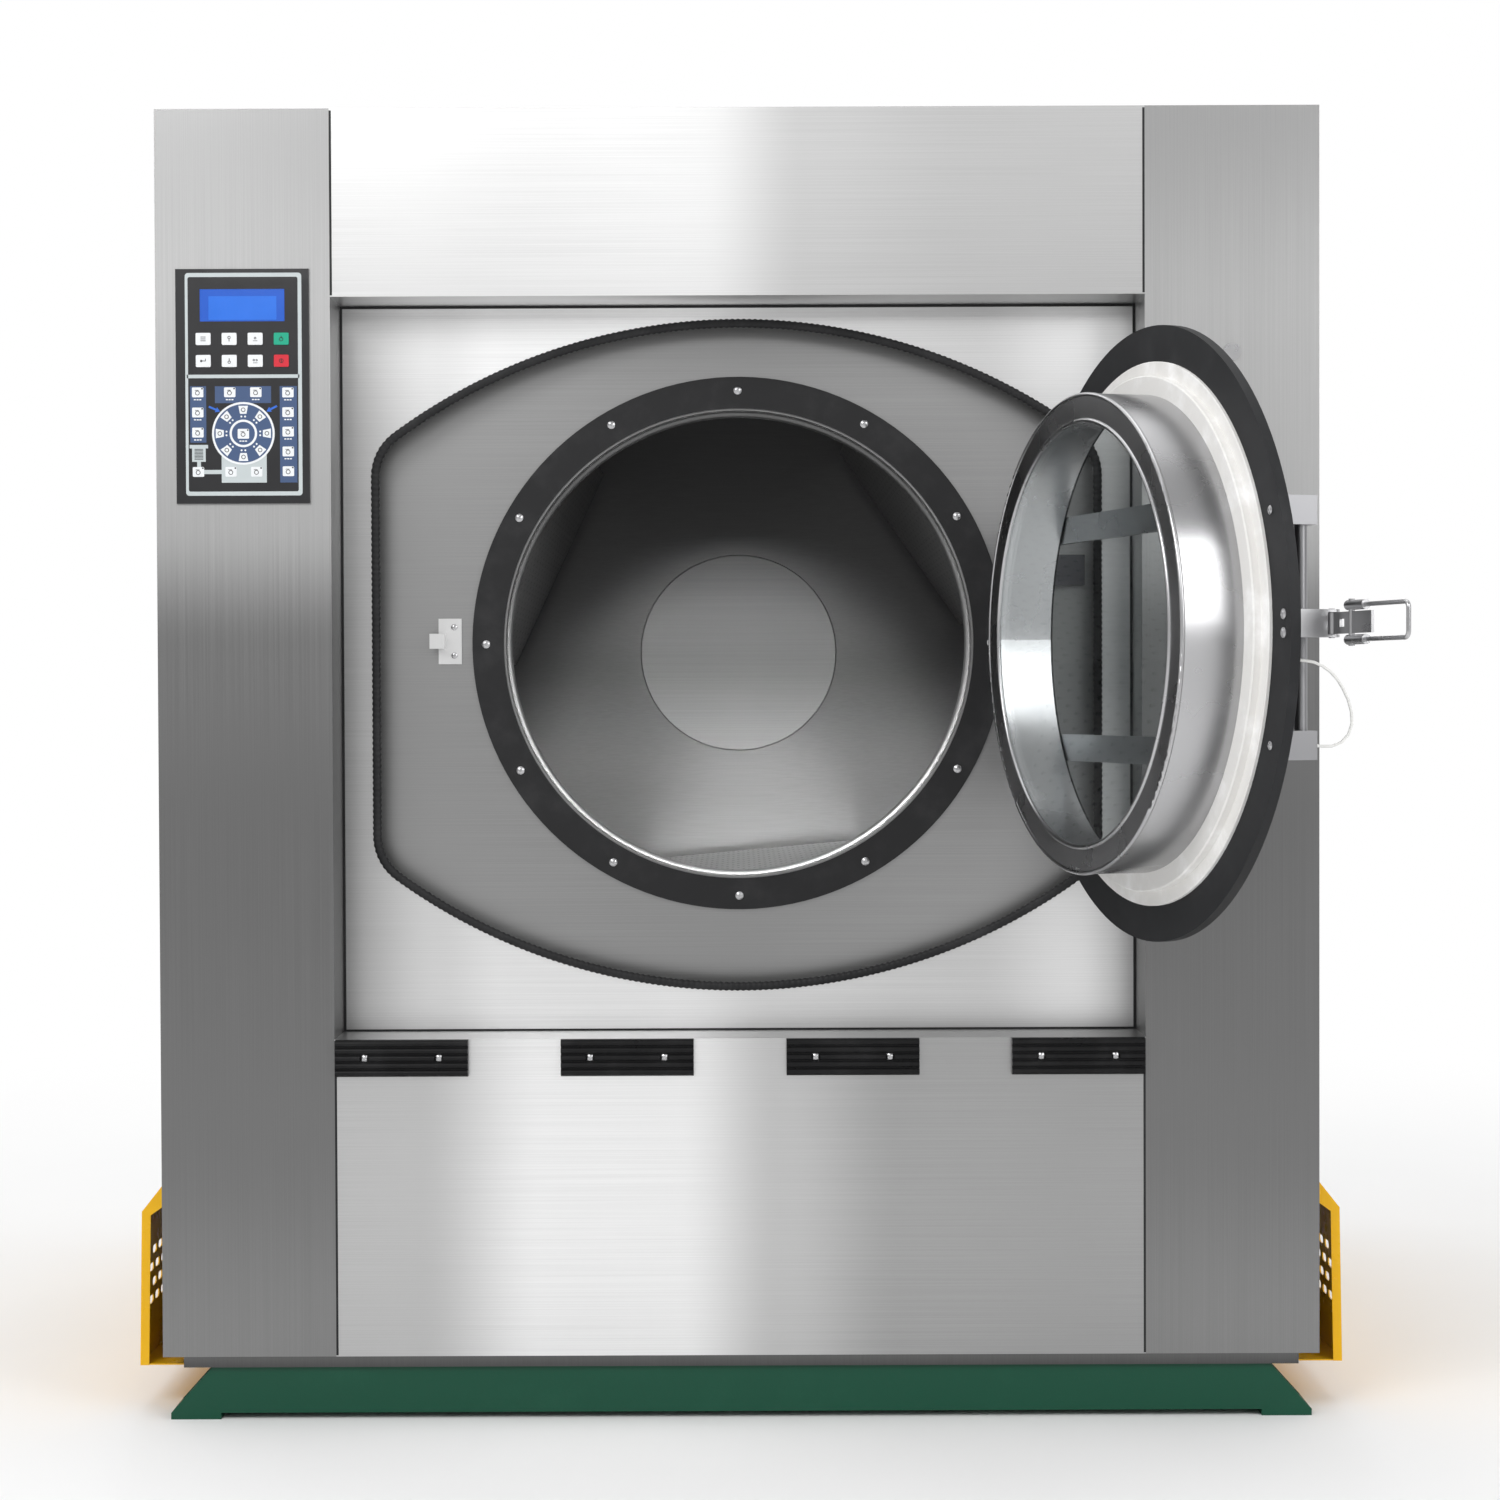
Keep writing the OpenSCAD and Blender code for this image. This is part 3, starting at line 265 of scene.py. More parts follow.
def brushed_sheet(name, painted_light_bands, grain="X", rough=0.33, metallic=0.92):
    """Brushed stainless sheet. Its broad soft shading is painted light: a list of bands (axis, low, high,
    stops) of painted reflection and painted shade, multiplied into the colour.
    """
    s = Shader(name, metallic=metallic, rough=rough)
    lines = s.noise(1.0, GRAIN[grain], 3.0)
    cloud = s.noise(1.6, (1, 1, 1), 2.0)
    # Painted light: each band brightens or darkens the colour where reflected light or shade falls on the
    # sheet
    parts = [s.along(*tone) for tone in painted_light_bands]
    parts.append(s.ramp(lines, [(0.25, 0.90), (0.75, 1.0)]))
    parts.append(s.ramp(cloud, [(0.3, 0.95), (0.7, 1.0)]))
    s.colour(s.multiply(*parts))
    s.roughness(s.noise(1.0, GRAIN[grain], 2.0), rough - 0.05, rough + 0.09)
    s.bump(lines, 0.06, 0.0004)
    return s.mat


def flat_tone(value):
    """A tone that is nearly the same all over."""
    return ("Z", 0.0, 2.0, [(0.0, value), (1.0, value * 0.97)])


def turned_steel(name, color, rough, scale=900.0, metallic=1.0):
    """Steel with fine marks and light handling smudges."""
    s = Shader(name, color, metallic, rough)
    fine = s.noise(scale, (1, 1, 0.12), 2.0)
    smudge = s.noise(7.0, (1, 1, 1), 4.0)
    dark = tuple(0.86 * c for c in color)
    s.colour(s.between(smudge, dark, color))
    s.roughness(smudge, rough - 0.04, rough + 0.12)
    s.bump(fine, 0.05, 0.0003)
    return s.mat


def enamel(name, color, rough=0.32, peel=110.0, dusty=0.5):
    """Brushed-on machine enamel with orange peel, dust and worn patches."""
    s = Shader(name, color, 0.0, rough, coat_weight=0.08, coat_roughness=0.2, specular_ior_level=0.3)
    dust = s.noise(9.0, (1, 1, 1), 6.0, 0.65)
    light = tuple(min(1.0, c * 1.2 + 0.006) for c in color)
    s.colour(s.between(s.ramp(dust, [(0.48, 0.0), (0.80, dusty)]), color, light))
    s.roughness(dust, rough - 0.08, rough + 0.18)
    s.bump(s.noise(peel, (1, 1, 1), 2.0), 0.22, 0.0009)
    return s.mat


def rubber(name, color, rough=0.42, grain=1400.0, gloss=0.2):
    """Moulded rubber with a fine skin and rubbed, paler patches."""
    s = Shader(name, color, 0.0, rough, specular_ior_level=gloss)
    rub = s.noise(14.0, (1, 1, 1), 5.0, 0.6)
    pale = tuple(min(1.0, c * 1.4 + 0.006) for c in color)
    s.colour(s.between(s.ramp(rub, [(0.45, 0.0), (0.8, 1.0)]), color, pale))
    s.roughness(rub, rough - 0.06, rough + 0.14)
    s.bump(s.noise(grain, (1, 1, 1), 2.0), 0.12, 0.0003)
    return s.mat


def moulded(name, color, rough=0.35, coat=0.0):
    """Moulded plastic or printed film with a faint texture."""
    s = Shader(name, color, 0.0, rough, coat_weight=coat)
    fine = s.noise(1800.0, (1, 1, 1), 2.0)
    soft = s.noise(30.0, (1, 1, 1), 3.0)
    s.colour(s.between(soft, tuple(c * 0.9 for c in color), color))
    s.roughness(soft, rough - 0.04, rough + 0.08)
    s.bump(fine, 0.05, 0.0002)
    return s.mat


def cast_metal(name, color, rough=0.55):
    """Cast or black-oiled metal."""
    s = Shader(name, color, 0.7, rough)
    grit = s.noise(260.0, (1, 1, 1), 4.0, 0.6)
    s.colour(s.between(grit, tuple(c * 0.7 for c in color), tuple(min(1, c * 1.2) for c in color)))
    s.roughness(grit, rough - 0.1, rough + 0.15)
    s.bump(grit, 0.3, 0.0008)
    return s.mat


# The drum's radius, by which the rows of holes are spaced round it
DRUM_R = 0.65


def perforated(name):
    """Drum sheet with painted shade, dark above and pale below, and staggered rows of small holes about the
    drum's axis.
    """
    s = Shader(name, metallic=0.75, rough=0.34)
    look = piece_settings()

    def maths(kind, a, b=None):
        node = s.add("ShaderNodeMath", operation=kind)
        for socket, value in zip(node.inputs, (a, b)):
            if isinstance(value, (int, float)):
                socket.default_value = value
            elif value is not None:
                s.link(value, socket)
        return node.outputs["Value"]

    split = s.add("ShaderNodeSeparateXYZ")
    s.link(s.coord.outputs["Object"], split.inputs["Vector"])
    rise = maths("SUBTRACT", split.outputs["Z"], AXIS_Z)
    turn = maths("ARCTAN2", rise, split.outputs["X"])
    around = maths("MULTIPLY", turn, DRUM_R / look.hole_pitch)
    along = maths("DIVIDE", split.outputs["Y"], look.hole_pitch)
    row = maths("FLOOR", along)
    shifted = maths("ADD", around, maths("MULTIPLY", row, 0.5))
    du = maths("SUBTRACT", maths("FRACT", shifted), 0.5)
    dv = maths("SUBTRACT", maths("FRACT", along), 0.5)
    apart = maths("SQRT", maths("ADD", maths("POWER", du, 2.0), maths("POWER", dv, 2.0)))
    hole = s.ramp(apart, [(0.0, 0.0), (look.hole_r / look.hole_pitch, 0.02),
                          (look.hole_r * 1.35 / look.hole_pitch, 1.0)], "LINEAR")
    # Painted shade: the drum's inside darkens towards the top and stays pale towards the bottom
    tone = s.along("Z", AXIS_Z - 0.45, AXIS_Z + 0.25, [(0.0, 0.66), (0.4, 0.50), (0.8, 0.20), (1.0, 0.15)])
    s.colour(s.multiply(tone, hole, s.ramp(s.noise(5.0), [(0.3, 0.9), (0.7, 1.0)])))
    s.roughness(s.noise(1.0, GRAIN["Y"], 2.0), 0.28, 0.42)
    s.bump(hole, 0.4, 0.001)
    return s.mat


def clear_glass(name):
    """Clear door glass with a faint film of dust."""
    s = Shader(name, (0.93, 0.97, 0.97), 0.0, 0.02, transmission_weight=1.0, ior=1.45)
    s.roughness(s.ramp(s.noise(6.0, (1, 1, 1), 4.0), [(0.5, 0.0), (0.9, 1.0)]), 0.012, 0.05)
    return s.mat


def make_finishes():
    """One material per slot of the record, by name."""
    look = finish_settings()
    width = (-HALF_WIDTH, HALF_WIDTH)
    opening = (-0.63, 0.63)
    height = (LEDGE_Z, CABINET_TOP)
    # Painted light: bands of painted reflection and painted shade up the front columns, dark low down and
    # brightest near the header
    column = [(0.0, 0.27), (0.18, 0.20), (0.42, 0.19), (0.57, 0.22), (0.67, 0.47), (0.82, 0.47), (1.0, 0.35)]
    return {
        "green_paint": enamel("green_paint", tuple(look.green)),
        "yellow_paint": enamel("yellow_paint", tuple(look.yellow), 0.22, 60.0, 0.12),
        "motor_paint": enamel("motor_paint", (0.08, 0.12, 0.17), 0.35),
        # Painted shade: the frame steel darkens towards the bottom, close to the floor
        "frame_steel": brushed_sheet("frame_steel", [
            ("Z", 0.08, 0.13, [(0.0, 0.10), (0.5, 0.16), (1.0, 0.45)])], "Z", 0.45),
        "brushed_panel": brushed_sheet("brushed_panel", [flat_tone(0.60)], "Z"),
        "column_panel": brushed_sheet("column_panel", [("Z", 0.1, CABINET_TOP, column)], "Z", 0.36),
        # Painted light: the header is brightest just left of the middle and falls to painted shade towards
        # the right
        "header_sheet": brushed_sheet("header_sheet", [
            ("X", *width, [(0.0, 0.60), (0.25, 0.72), (0.47, 0.80), (0.56, 0.57), (0.7, 0.52), (0.88, 0.53),
                           (1.0, 0.55)])], "X"),
        # Painted light: the recessed panel brightens towards the header and carries bands of painted
        # reflection and painted shade across its width
        "recess_sheet": brushed_sheet("recess_sheet", [
            ("Z", AXIS_Z, HEADER_Z, [(0.0, 1.0), (0.5, 1.0), (1.0, 1.12)]),
            ("X", *opening, [(0.0, 0.5), (0.12, 0.78), (0.2, 0.9), (0.42, 0.92), (0.55, 0.76), (0.8, 0.66),
                             (0.93, 0.86), (1.0, 0.65)])],
            "X", 0.3),
        # Painted light: bands of painted reflection across the lower panel, brightest left of the middle and
        # in painted shade to the right
        "lower_sheet": brushed_sheet("lower_sheet", [
            ("X", *opening, [(0.0, 0.55), (0.1, 0.56), (0.26, 0.95), (0.42, 0.95), (0.55, 0.58), (0.7, 0.40),
                             (1.0, 0.38)])],
            "X", 0.3),
        # Painted shade: the tub's face is darkened where it lies in shade behind the cut-out, with a slightly
        # darker band across its middle
        "tub_steel": brushed_sheet("tub_steel", [
            ("Z", *height, [(0.0, 0.38), (0.35, 0.34), (0.6, 0.36), (0.78, 0.36), (1.0, 0.40)]),
            ("X", -0.6, 0.6, [(0.0, 1.0), (0.5, 0.9), (0.8, 1.0), (1.0, 1.0)])], "X", 0.34),
        "drum_steel": perforated("drum_steel"),
        # Painted shade: the drum's back darkens towards the top and stays pale towards the bottom
        "drum_back_steel": brushed_sheet("drum_back_steel", [
            ("Z", AXIS_Z - 0.45, AXIS_Z + 0.15, [(0.0, 0.72), (0.35, 0.52), (0.75, 0.21), (1.0, 0.17)])],
            "X", 0.4, 0.6),
        # Painted light: bands of painted reflection across the roof
        "roof_sheet": brushed_sheet("roof_sheet", [
            ("X", -HALF_WIDTH, HALF_WIDTH, [(0.0, 0.40), (0.35, 0.33), (0.7, 0.42), (1.0, 0.36)])], "X", 0.5),
        # Painted light: the side sheets are lighter towards the top and darker low down, with bands along
        # their depth
        "side_sheet": brushed_sheet("side_sheet", [
            ("Z", 0.1, CABINET_TOP, [(0.0, 0.34), (0.35, 0.42), (0.7, 0.56), (1.0, 0.50)]),
            ("Y", -0.8, 0.8, [(0.0, 0.95), (0.4, 0.85), (1.0, 1.0)])], "Z", 0.38),
        # Painted light: the rear sheet is lighter towards the top and darker low down, with bands across its
        # width
        "rear_sheet": brushed_sheet("rear_sheet", [
            ("Z", 0.1, CABINET_TOP, [(0.0, 0.36), (0.45, 0.50), (1.0, 0.58)]),
            ("X", -HALF_WIDTH, HALF_WIDTH, [(0.0, 0.9), (0.4, 1.0), (1.0, 0.82)])], "Z", 0.38),
        "bright_steel": turned_steel("bright_steel", (0.52, 0.52, 0.53), 0.24),
        "polished_steel": turned_steel("polished_steel", (0.52, 0.52, 0.53), 0.24),
        "keeper_steel": turned_steel("keeper_steel", (0.90, 0.90, 0.90), 0.26),
        "handle_steel": turned_steel("handle_steel", (0.30, 0.30, 0.31), 0.34),
        "machined_steel": turned_steel("machined_steel", (0.55, 0.56, 0.57), 0.28),
        "spring_steel": cast_metal("spring_steel", (0.05, 0.055, 0.06), 0.42),
        "cast_iron": cast_metal("cast_iron", (0.16, 0.17, 0.18), 0.6),
        "black_rubber": rubber("black_rubber", (0.018, 0.018, 0.019)),
        "bumper_rubber": rubber("bumper_rubber", (0.010, 0.010, 0.0105), 0.26, gloss=0.12),
        "flange_black": rubber("flange_black", (0.020, 0.0205, 0.022), 0.46, 700.0, 0.16),
        "white_seal": rubber("white_seal", tuple(look.seal), 0.5),
        "dark_plastic": moulded("dark_plastic", (0.08, 0.08, 0.09), 0.5),
        "white_tube": moulded("white_tube", (0.78, 0.78, 0.76), 0.4),
        "keypad_black": moulded("keypad_black", (0.010, 0.010, 0.012), 0.28, 0.3),
        "print_grey": moulded("print_grey", (0.52, 0.57, 0.58), 0.4),
        "print_blue": moulded("print_blue", tuple(look.legend_blue), 0.4),
        "print_bright": moulded("print_bright", (0.02, 0.13, 0.60), 0.4),
        "display_blue": moulded("display_blue", (0.012, 0.10, 0.55), 0.12, 0.6),
        "display_glow": moulded("display_glow", (0.02, 0.16, 0.72), 0.12, 0.6),
        "key_white": moulded("key_white", (0.80, 0.82, 0.84), 0.35),
        "key_green": moulded("key_green", (0.0, 0.36, 0.22), 0.35),
        "key_red": moulded("key_red", (0.62, 0.012, 0.03), 0.35),
        "door_glass": clear_glass("door_glass"),
    }


# Finishes that differ from the record's slot, by CAD node
OWN_FINISH = {
    "left_column": "column_panel", "right_column": "column_panel", "header_panel": "header_sheet",
    "front_panel": "recess_sheet", "lower_panel": "lower_sheet", "bumper_strips": "bumper_rubber",
    "drum_back": "drum_back_steel", "roof_panel": "roof_sheet", "rear_panel": "rear_sheet",
    "left_side_panel": "side_sheet", "right_side_panel": "side_sheet",
    "door_keeper": "keeper_steel", "door_handle": "handle_steel",
}

finishes = {}


def dress(obj, finish):
    """Gives a piece its finish."""
    obj.data.materials.clear()
    obj.data.materials.append(finishes[finish])
    return obj


# ------------------------------------------------------------------ meshes


def piece(name, mesh, body, finish, smooth=True, angle=40.0):
    """A new piece from a bmesh, in the row frame, riding on a body if one is given."""
    bmesh.ops.recalc_face_normals(mesh, faces=mesh.faces)
    data = bpy.data.meshes.new(name)
    mesh.to_mesh(data)
    mesh.free()
    obj = bpy.data.objects.new(name, data)
    bpy.context.scene.collection.objects.link(obj)
    dress(obj, finish)
    if smooth:
        data.shade_smooth()
        data.set_sharp_from_angle(angle=math.radians(angle))
    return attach(obj, body) if body else obj


def add_box(mesh, low, high, bevel=0.0):
    """A box between two corners, with rounded edges if a bevel is given."""
    made = bmesh.ops.create_cube(mesh, size=1.0)["verts"]
    centre = [(a + b) / 2 for a, b in zip(low, high)]
    size = [b - a for a, b in zip(low, high)]
    for v in made:
        v.co = Vector([c + s * x for c, s, x in zip(centre, size, v.co)])
    if bevel:
        edges = {e for v in made for e in v.link_edges}
        bmesh.ops.bevel(mesh, geom=list(edges), offset=bevel, segments=2, affect="EDGES", profile=0.6)


def add_prism(mesh, outline, y0, y1, place=None):
    """An outline in (x, z), stood between two depths."""
    near = [mesh.verts.new((x, y0, z)) for x, z in outline]
    far = [mesh.verts.new((x, y1, z)) for x, z in outline]
    count = len(outline)
    mesh.faces.new(near)
    mesh.faces.new(far)
    for i in range(count):
        j = (i + 1) % count
        mesh.faces.new((near[i], near[j], far[j], far[i]))
    if place:
        bmesh.ops.transform(mesh, matrix=place, verts=near + far)


def add_turned(mesh, profile, place, sides=128, closed=True):
    """A profile of (radius, depth) points turned about the local Y axis."""
    rings = []
    for k in range(sides):
        angle = 2 * math.pi * k / sides
        rings.append([mesh.verts.new(place @ Vector((r * math.cos(angle), y, r * math.sin(angle))))
                      for r, y in profile])
    last = len(profile) if closed else len(profile) - 1
    for k in range(sides):
        a, b = rings[k], rings[(k + 1) % sides]
        for i in range(last):
            j = (i + 1) % len(profile)
            mesh.faces.new((a[i], a[j], b[j], b[i]))


def rounded_rect(cx, cz, width, height, radius, steps=6):
    """The outline of a rectangle with round corners."""
    points = []
    corners = [(1, 1, 0), (-1, 1, 90), (-1, -1, 180), (1, -1, 270)]
    for sx, sz, start in corners:
        ox, oz = cx + sx * (width / 2 - radius), cz + sz * (height / 2 - radius)
        for k in range(steps + 1):
            angle = math.radians(start + 90 * k / steps)
            points.append((ox + radius * math.cos(angle), oz + radius * math.sin(angle)))
    return points


def circle(cx, cz, radius, sides=40, start=0.0):
    return [(cx + radius * math.cos(start + 2 * math.pi * k / sides),
             cz + radius * math.sin(start + 2 * math.pi * k / sides)) for k in range(sides)]


def add_frame(mesh, outer, inner, y0, y1):
    """A flat frame between two outlines of equal count."""
    rows = [[mesh.verts.new((x, y, z)) for x, z in line]
            for y in (y0, y1) for line in (outer, inner)]
    count = len(outer)
    for i in range(count):
        j = (i + 1) % count
        for a, b in ((0, 1), (2, 3), (0, 2), (1, 3)):
            mesh.faces.new((rows[a][i], rows[a][j], rows[b][j], rows[b][i]))


# ------------------------------------------------------------------ operators


def area_light(name, place, target, size, power, color=(1, 1, 1)):
    """A soft rectangular light that looks at a point."""
    data = bpy.data.lights.new(name, "AREA")
    data.shape = "RECTANGLE"
    data.size, data.size_y = size
    data.energy = power
    data.color = color
    obj = bpy.data.objects.new(name, data)
    obj.location = place
    obj.rotation_euler = (Vector(target) - Vector(place)).to_track_quat("-Z", "Y").to_euler()
    bpy.context.scene.collection.objects.link(obj)
    return obj


# The floor turns into the white background between these distances from the origin
FLOOR_FADE = (1.6, 4.2)


class LAUNDRY_OT_stage(bpy.types.Operator):
    """Sets the camera, the studio floor, the light and the background"""

    bl_idname = "laundry.stage"
    bl_label = "Stage"
    bl_options = {"REGISTER", "UNDO"}

    def execute(self, context):
        s = stage_settings()
        scene = context.scene
        data = bpy.data.cameras.new("camera")
        data.lens = s.lens
        data.sensor_width = 36
        data.shift_x = 0.0075
        data.dof.use_dof = False
        camera = bpy.data.objects.new("camera", data)
        camera.location = (0, FRONT_Y - s.camera_distance, s.camera_height)
        camera.rotation_euler = (math.pi / 2 - s.camera_tilt, 0.0038, 0)
        scene.collection.objects.link(camera)
        scene.camera = camera
        scene.view_settings.view_transform = "Standard"
        scene.view_settings.look = "None"

        mesh = bmesh.new()
        half = s.floor_size / 2
        corners = ((-1, -1), (1, -1), (1, 1), (-1, 1))
        mesh.faces.new([mesh.verts.new((x * half, y * half, 0)) for x, y in corners])
        data = bpy.data.meshes.new("studio_floor")
        mesh.to_mesh(data)
        mesh.free()
        floor = bpy.data.objects.new("studio_floor", data)
        scene.collection.objects.link(floor)
        paper = Shader("studio_paper", (0.90, 0.90, 0.90), 0.0, 0.8)
        paper.colour(paper.ramp(paper.noise(0.8), [(0.3, 0.89), (0.7, 0.91)]))
        reach = paper.add("ShaderNodeVectorMath", operation="LENGTH")
        paper.link(paper.coord.outputs["Object"], reach.inputs[0])
        fade = paper.add("ShaderNodeMapRange", interpolation_type="SMOOTHSTEP")
        fade.inputs["From Min"].default_value, fade.inputs["From Max"].default_value = FLOOR_FADE
        paper.link(reach.outputs["Value"], fade.inputs["Value"])
        glow = paper.add("ShaderNodeEmission")
        glow.inputs["Strength"].default_value = 1.0
        blend = paper.add("ShaderNodeMixShader")
        paper.link(fade.outputs["Result"], blend.inputs["Fac"])
        paper.link(paper.bsdf.outputs["BSDF"], blend.inputs[1])
        paper.link(glow.outputs["Emission"], blend.inputs[2])
        paper.link(blend.outputs["Shader"], paper.nt.nodes["Material Output"].inputs["Surface"])
        data.materials.append(paper.mat)

        # The world is white behind the machine, and in front of it grey below and pale above
        world = bpy.data.worlds.new("studio")
        world.use_nodes = True
        scene.world = world
        nt = world.node_tree

        def node(kind, **values):
            made = nt.nodes.new(kind)
            for key, value in values.items():
                setattr(made, key, value)
            return made

        def span(source, low, high, start, end):
            made = node("ShaderNodeMapRange", interpolation_type="SMOOTHSTEP")
            for socket, value in zip(("From Min", "From Max", "To Min", "To Max"), (low, high, start, end)):
                made.inputs[socket].default_value = value
            nt.links.new(source, made.inputs["Value"])
            return made.outputs["Result"]

        split = node("ShaderNodeSeparateXYZ")
        nt.links.new(node("ShaderNodeTexCoord").outputs["Generated"], split.inputs["Vector"])
        upper = span(split.outputs["Z"], -0.02, 0.25, 0.42, 0.54)
        behind = span(split.outputs["Y"], -0.1, 0.15, 0.0, 1.0)
        tone = node("ShaderNodeMath", operation="MAXIMUM")
        nt.links.new(upper, tone.inputs[0])
        nt.links.new(behind, tone.inputs[1])
        seen = node("ShaderNodeMath", operation="MAXIMUM")
        nt.links.new(tone.outputs["Value"], seen.inputs[0])
        nt.links.new(node("ShaderNodeLightPath").outputs["Is Camera Ray"], seen.inputs[1])
        nt.links.new(seen.outputs["Value"], nt.nodes["Background"].inputs["Color"])

        middle = (0, FRONT_Y, AXIS_Z)
        area_light("key_light", (-2.6, -5.0, 4.4), middle, (3.0, 2.0), 130)
        area_light("fill_light", (3.6, -4.6, 3.0), middle, (2.0, 3.0), 80)
        drum_light = area_light("drum_light", (0.0, -4.4, 2.5), (0, 0.2, AXIS_Z - 0.2), (0.8, 0.6), 1.9)
        drum_light.data.spread = math.radians(30)
        inside = bpy.data.collections.new("drum_lit")
        for name in ("drum_back", "drum_wall", "drum_front", "lifters"):
            inside.objects.link(frame["nodes"][name])
        drum_light.light_linking.receiver_collection = inside
        area_light("upper_light", (0, -5.6, 3.0), (0, FRONT_Y, CABINET_TOP - 0.1), (3.5, 1.0), 13)
        area_light("top_light", (0, -0.6, 5.2), (0, 0, 0), (3.6, 3.6), 45)
        area_light("back_light", (0, 5.0, 3.4), middle, (4.0, 2.0), 60)
        return {"FINISHED"}


class LAUNDRY_OT_finish(bpy.types.Operator):
    """Gives every CAD node its finish"""

    bl_idname = "laundry.finish"
    bl_label = "Finishes"
    bl_options = {"REGISTER", "UNDO"}

    def execute(self, context):
        finishes.update(make_finishes())
        for row in frame["record"]["subparts"]:
            node = frame["nodes"][row["node"]]
            slot = row["material_slot"]
            node.data.materials.clear()
            node.data.materials.append(finishes[OWN_FINISH.get(row["node"], slot)])
            node.data.shade_smooth()
            node.data.set_sharp_from_angle(angle=math.radians(35))
        return {"FINISHED"}


class LAUNDRY_OT_tube(bpy.types.Operator):
    """The thin white tube from the door's flange to the handle's lower block"""

    bl_idname = "laundry.tube"
    bl_label = "Latch tube"
    bl_options = {"REGISTER", "UNDO"}

    def execute(self, context):
        points = [DOOR @ (Vector(p) * MM) for p in TUBE_ROUTE]
        data = bpy.data.curves.new("latch_tube_line", "CURVE")
        data.dimensions = "3D"
        data.bevel_depth = TUBE_R
        data.bevel_resolution = 4
        data.use_fill_caps = True
        line = data.splines.new("POLY")
        line.points.add(len(points) - 1)
        for point, co in zip(line.points, points):
            point.co = (*co, 1)
        obj = bpy.data.objects.new("latch_tube_line", data)
        context.scene.collection.objects.link(obj)
        dress(obj, "white_tube")
        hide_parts("latch_tube")
        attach(obj, "door")
        return {"FINISHED"}


# The tube's centreline in the door's own frame, in millimetres
TUBE_ROUTE = [
    (-893, 27, -42), (-893, 14, -42), (-893, 0, -43), (-892, -13, -45), (-891, -26, -50),
    (-889, -38, -57), (-886, -49, -66), (-883, -59, -78), (-879, -69, -93), (-875, -76, -109),
    (-871, -79, -125), (-867, -76, -139), (-863, -68, -149), (-860, -56, -154), (-858, -43, -154),
    (-857, -33, -153), (-857, -28.6, -153),
]
TUBE_R = 0.002


# The keypad's printed film, in millimetres from the film's centre: (left, bottom, right, top)
FILM_BLUE = [(-81.2, -86.8, -56.4, 0.2), (-42.8, -26.0, 44.0, 0.0), (57.3, -148.8, 84.0, 0.0)]
FILM_GREY = [(-33.1, -148.8, 36.6, -100.0), (-82.5, -95.7, -53.9, -90.3), (-78.7, -116.4, -57.7, -95.7),
             (-70.9, -126.0, -65.1, -116.4), (-60.2, -135.4, -33.1, -129.0)]
FILM_FRAME = ((1.75, 3.0, 180.1, 343.6, 5.0), (1.0, 3.0, 170.0, 331.0, 3.0))
FILM_DIVIDER = (-86.0, 12.6, 88.0, 18.0)
SMALL_KEYS = [(-69.4, -9.3), (-69.4, -40.3), (-69.4, -71.3), (-19.8, -9.3), (20.5, -9.3), (70.1, -9.9),
              (70.1, -40.3), (70.1, -70.3), (70.1, -100.9), (70.1, -131.4), (-18.6, -132.0), (21.1, -132.0),
              (-69.0, -132.0), (0.8, -73.4)]
SMALL_KEY = (17.6, 15.2)
# Three short strokes stand for the legend under each small key, except in the lowest row
LEGEND_PITCH = 4.2
LOWEST_LEGEND = -125
DIAL = (0.8, -72.8)
DIAL_R = (48.4, 45.2, 21.3, 17.8)
DIAL_KEYS = 8
DIAL_KEY_R = 36.4
DIAL_DOT_R = 26.2
DIAL_DOT_TURN = 0.11
ARROWS = [((-52.5, -31.2), (-35.0, -39.0)), ((53.0, -30.6), (36.6, -39.0))]
GLOW = (-52.0, 102.5, 53.0, 139.0)
# The fine lines on the grey card mark
CARD_LINES = 8
CARD_LOW = -113.0
CARD_PITCH = 2.2
LAYER = 0.00012

# Each key's mark, as strokes (left, bottom, right, top) and dots (x, z, radius) in millimetres
KEY_MARKS = {
    "key_menu": ([(-4, 2.4, 4, 3.4), (-4, -0.5, 4, 0.5), (-4, -3.4, 4, -2.4)], []),
    "key_up": ([(-0.6, -4, 0.6, 1)], [(0, 2, 2.4)]),
    "key_f1": ([(-3.5, -3.6, 3.5, -2.8)], [(0, 1, 1.8)]),
    "key_start": ([(-0.6, 0.5, 0.6, 4.4)], [(0, -0.8, 3.2)]),
    "key_enter": ([(-4, -0.5, 4, 0.5), (3, -0.5, 4, 3.5)], [(-3, 0, 1.8)]),
    "key_down": ([(-0.6, -1, 0.6, 4)], [(0, -2, 2.4)]),
    "key_f2": ([(-3.5, -3.6, 3.5, -2.8)], [(-2.2, 1, 1.6), (2.2, 1, 1.6)]),
    "key_stop": ([(-0.6, -3, 0.6, 3)], [(0, 0, 3.4)]),
}


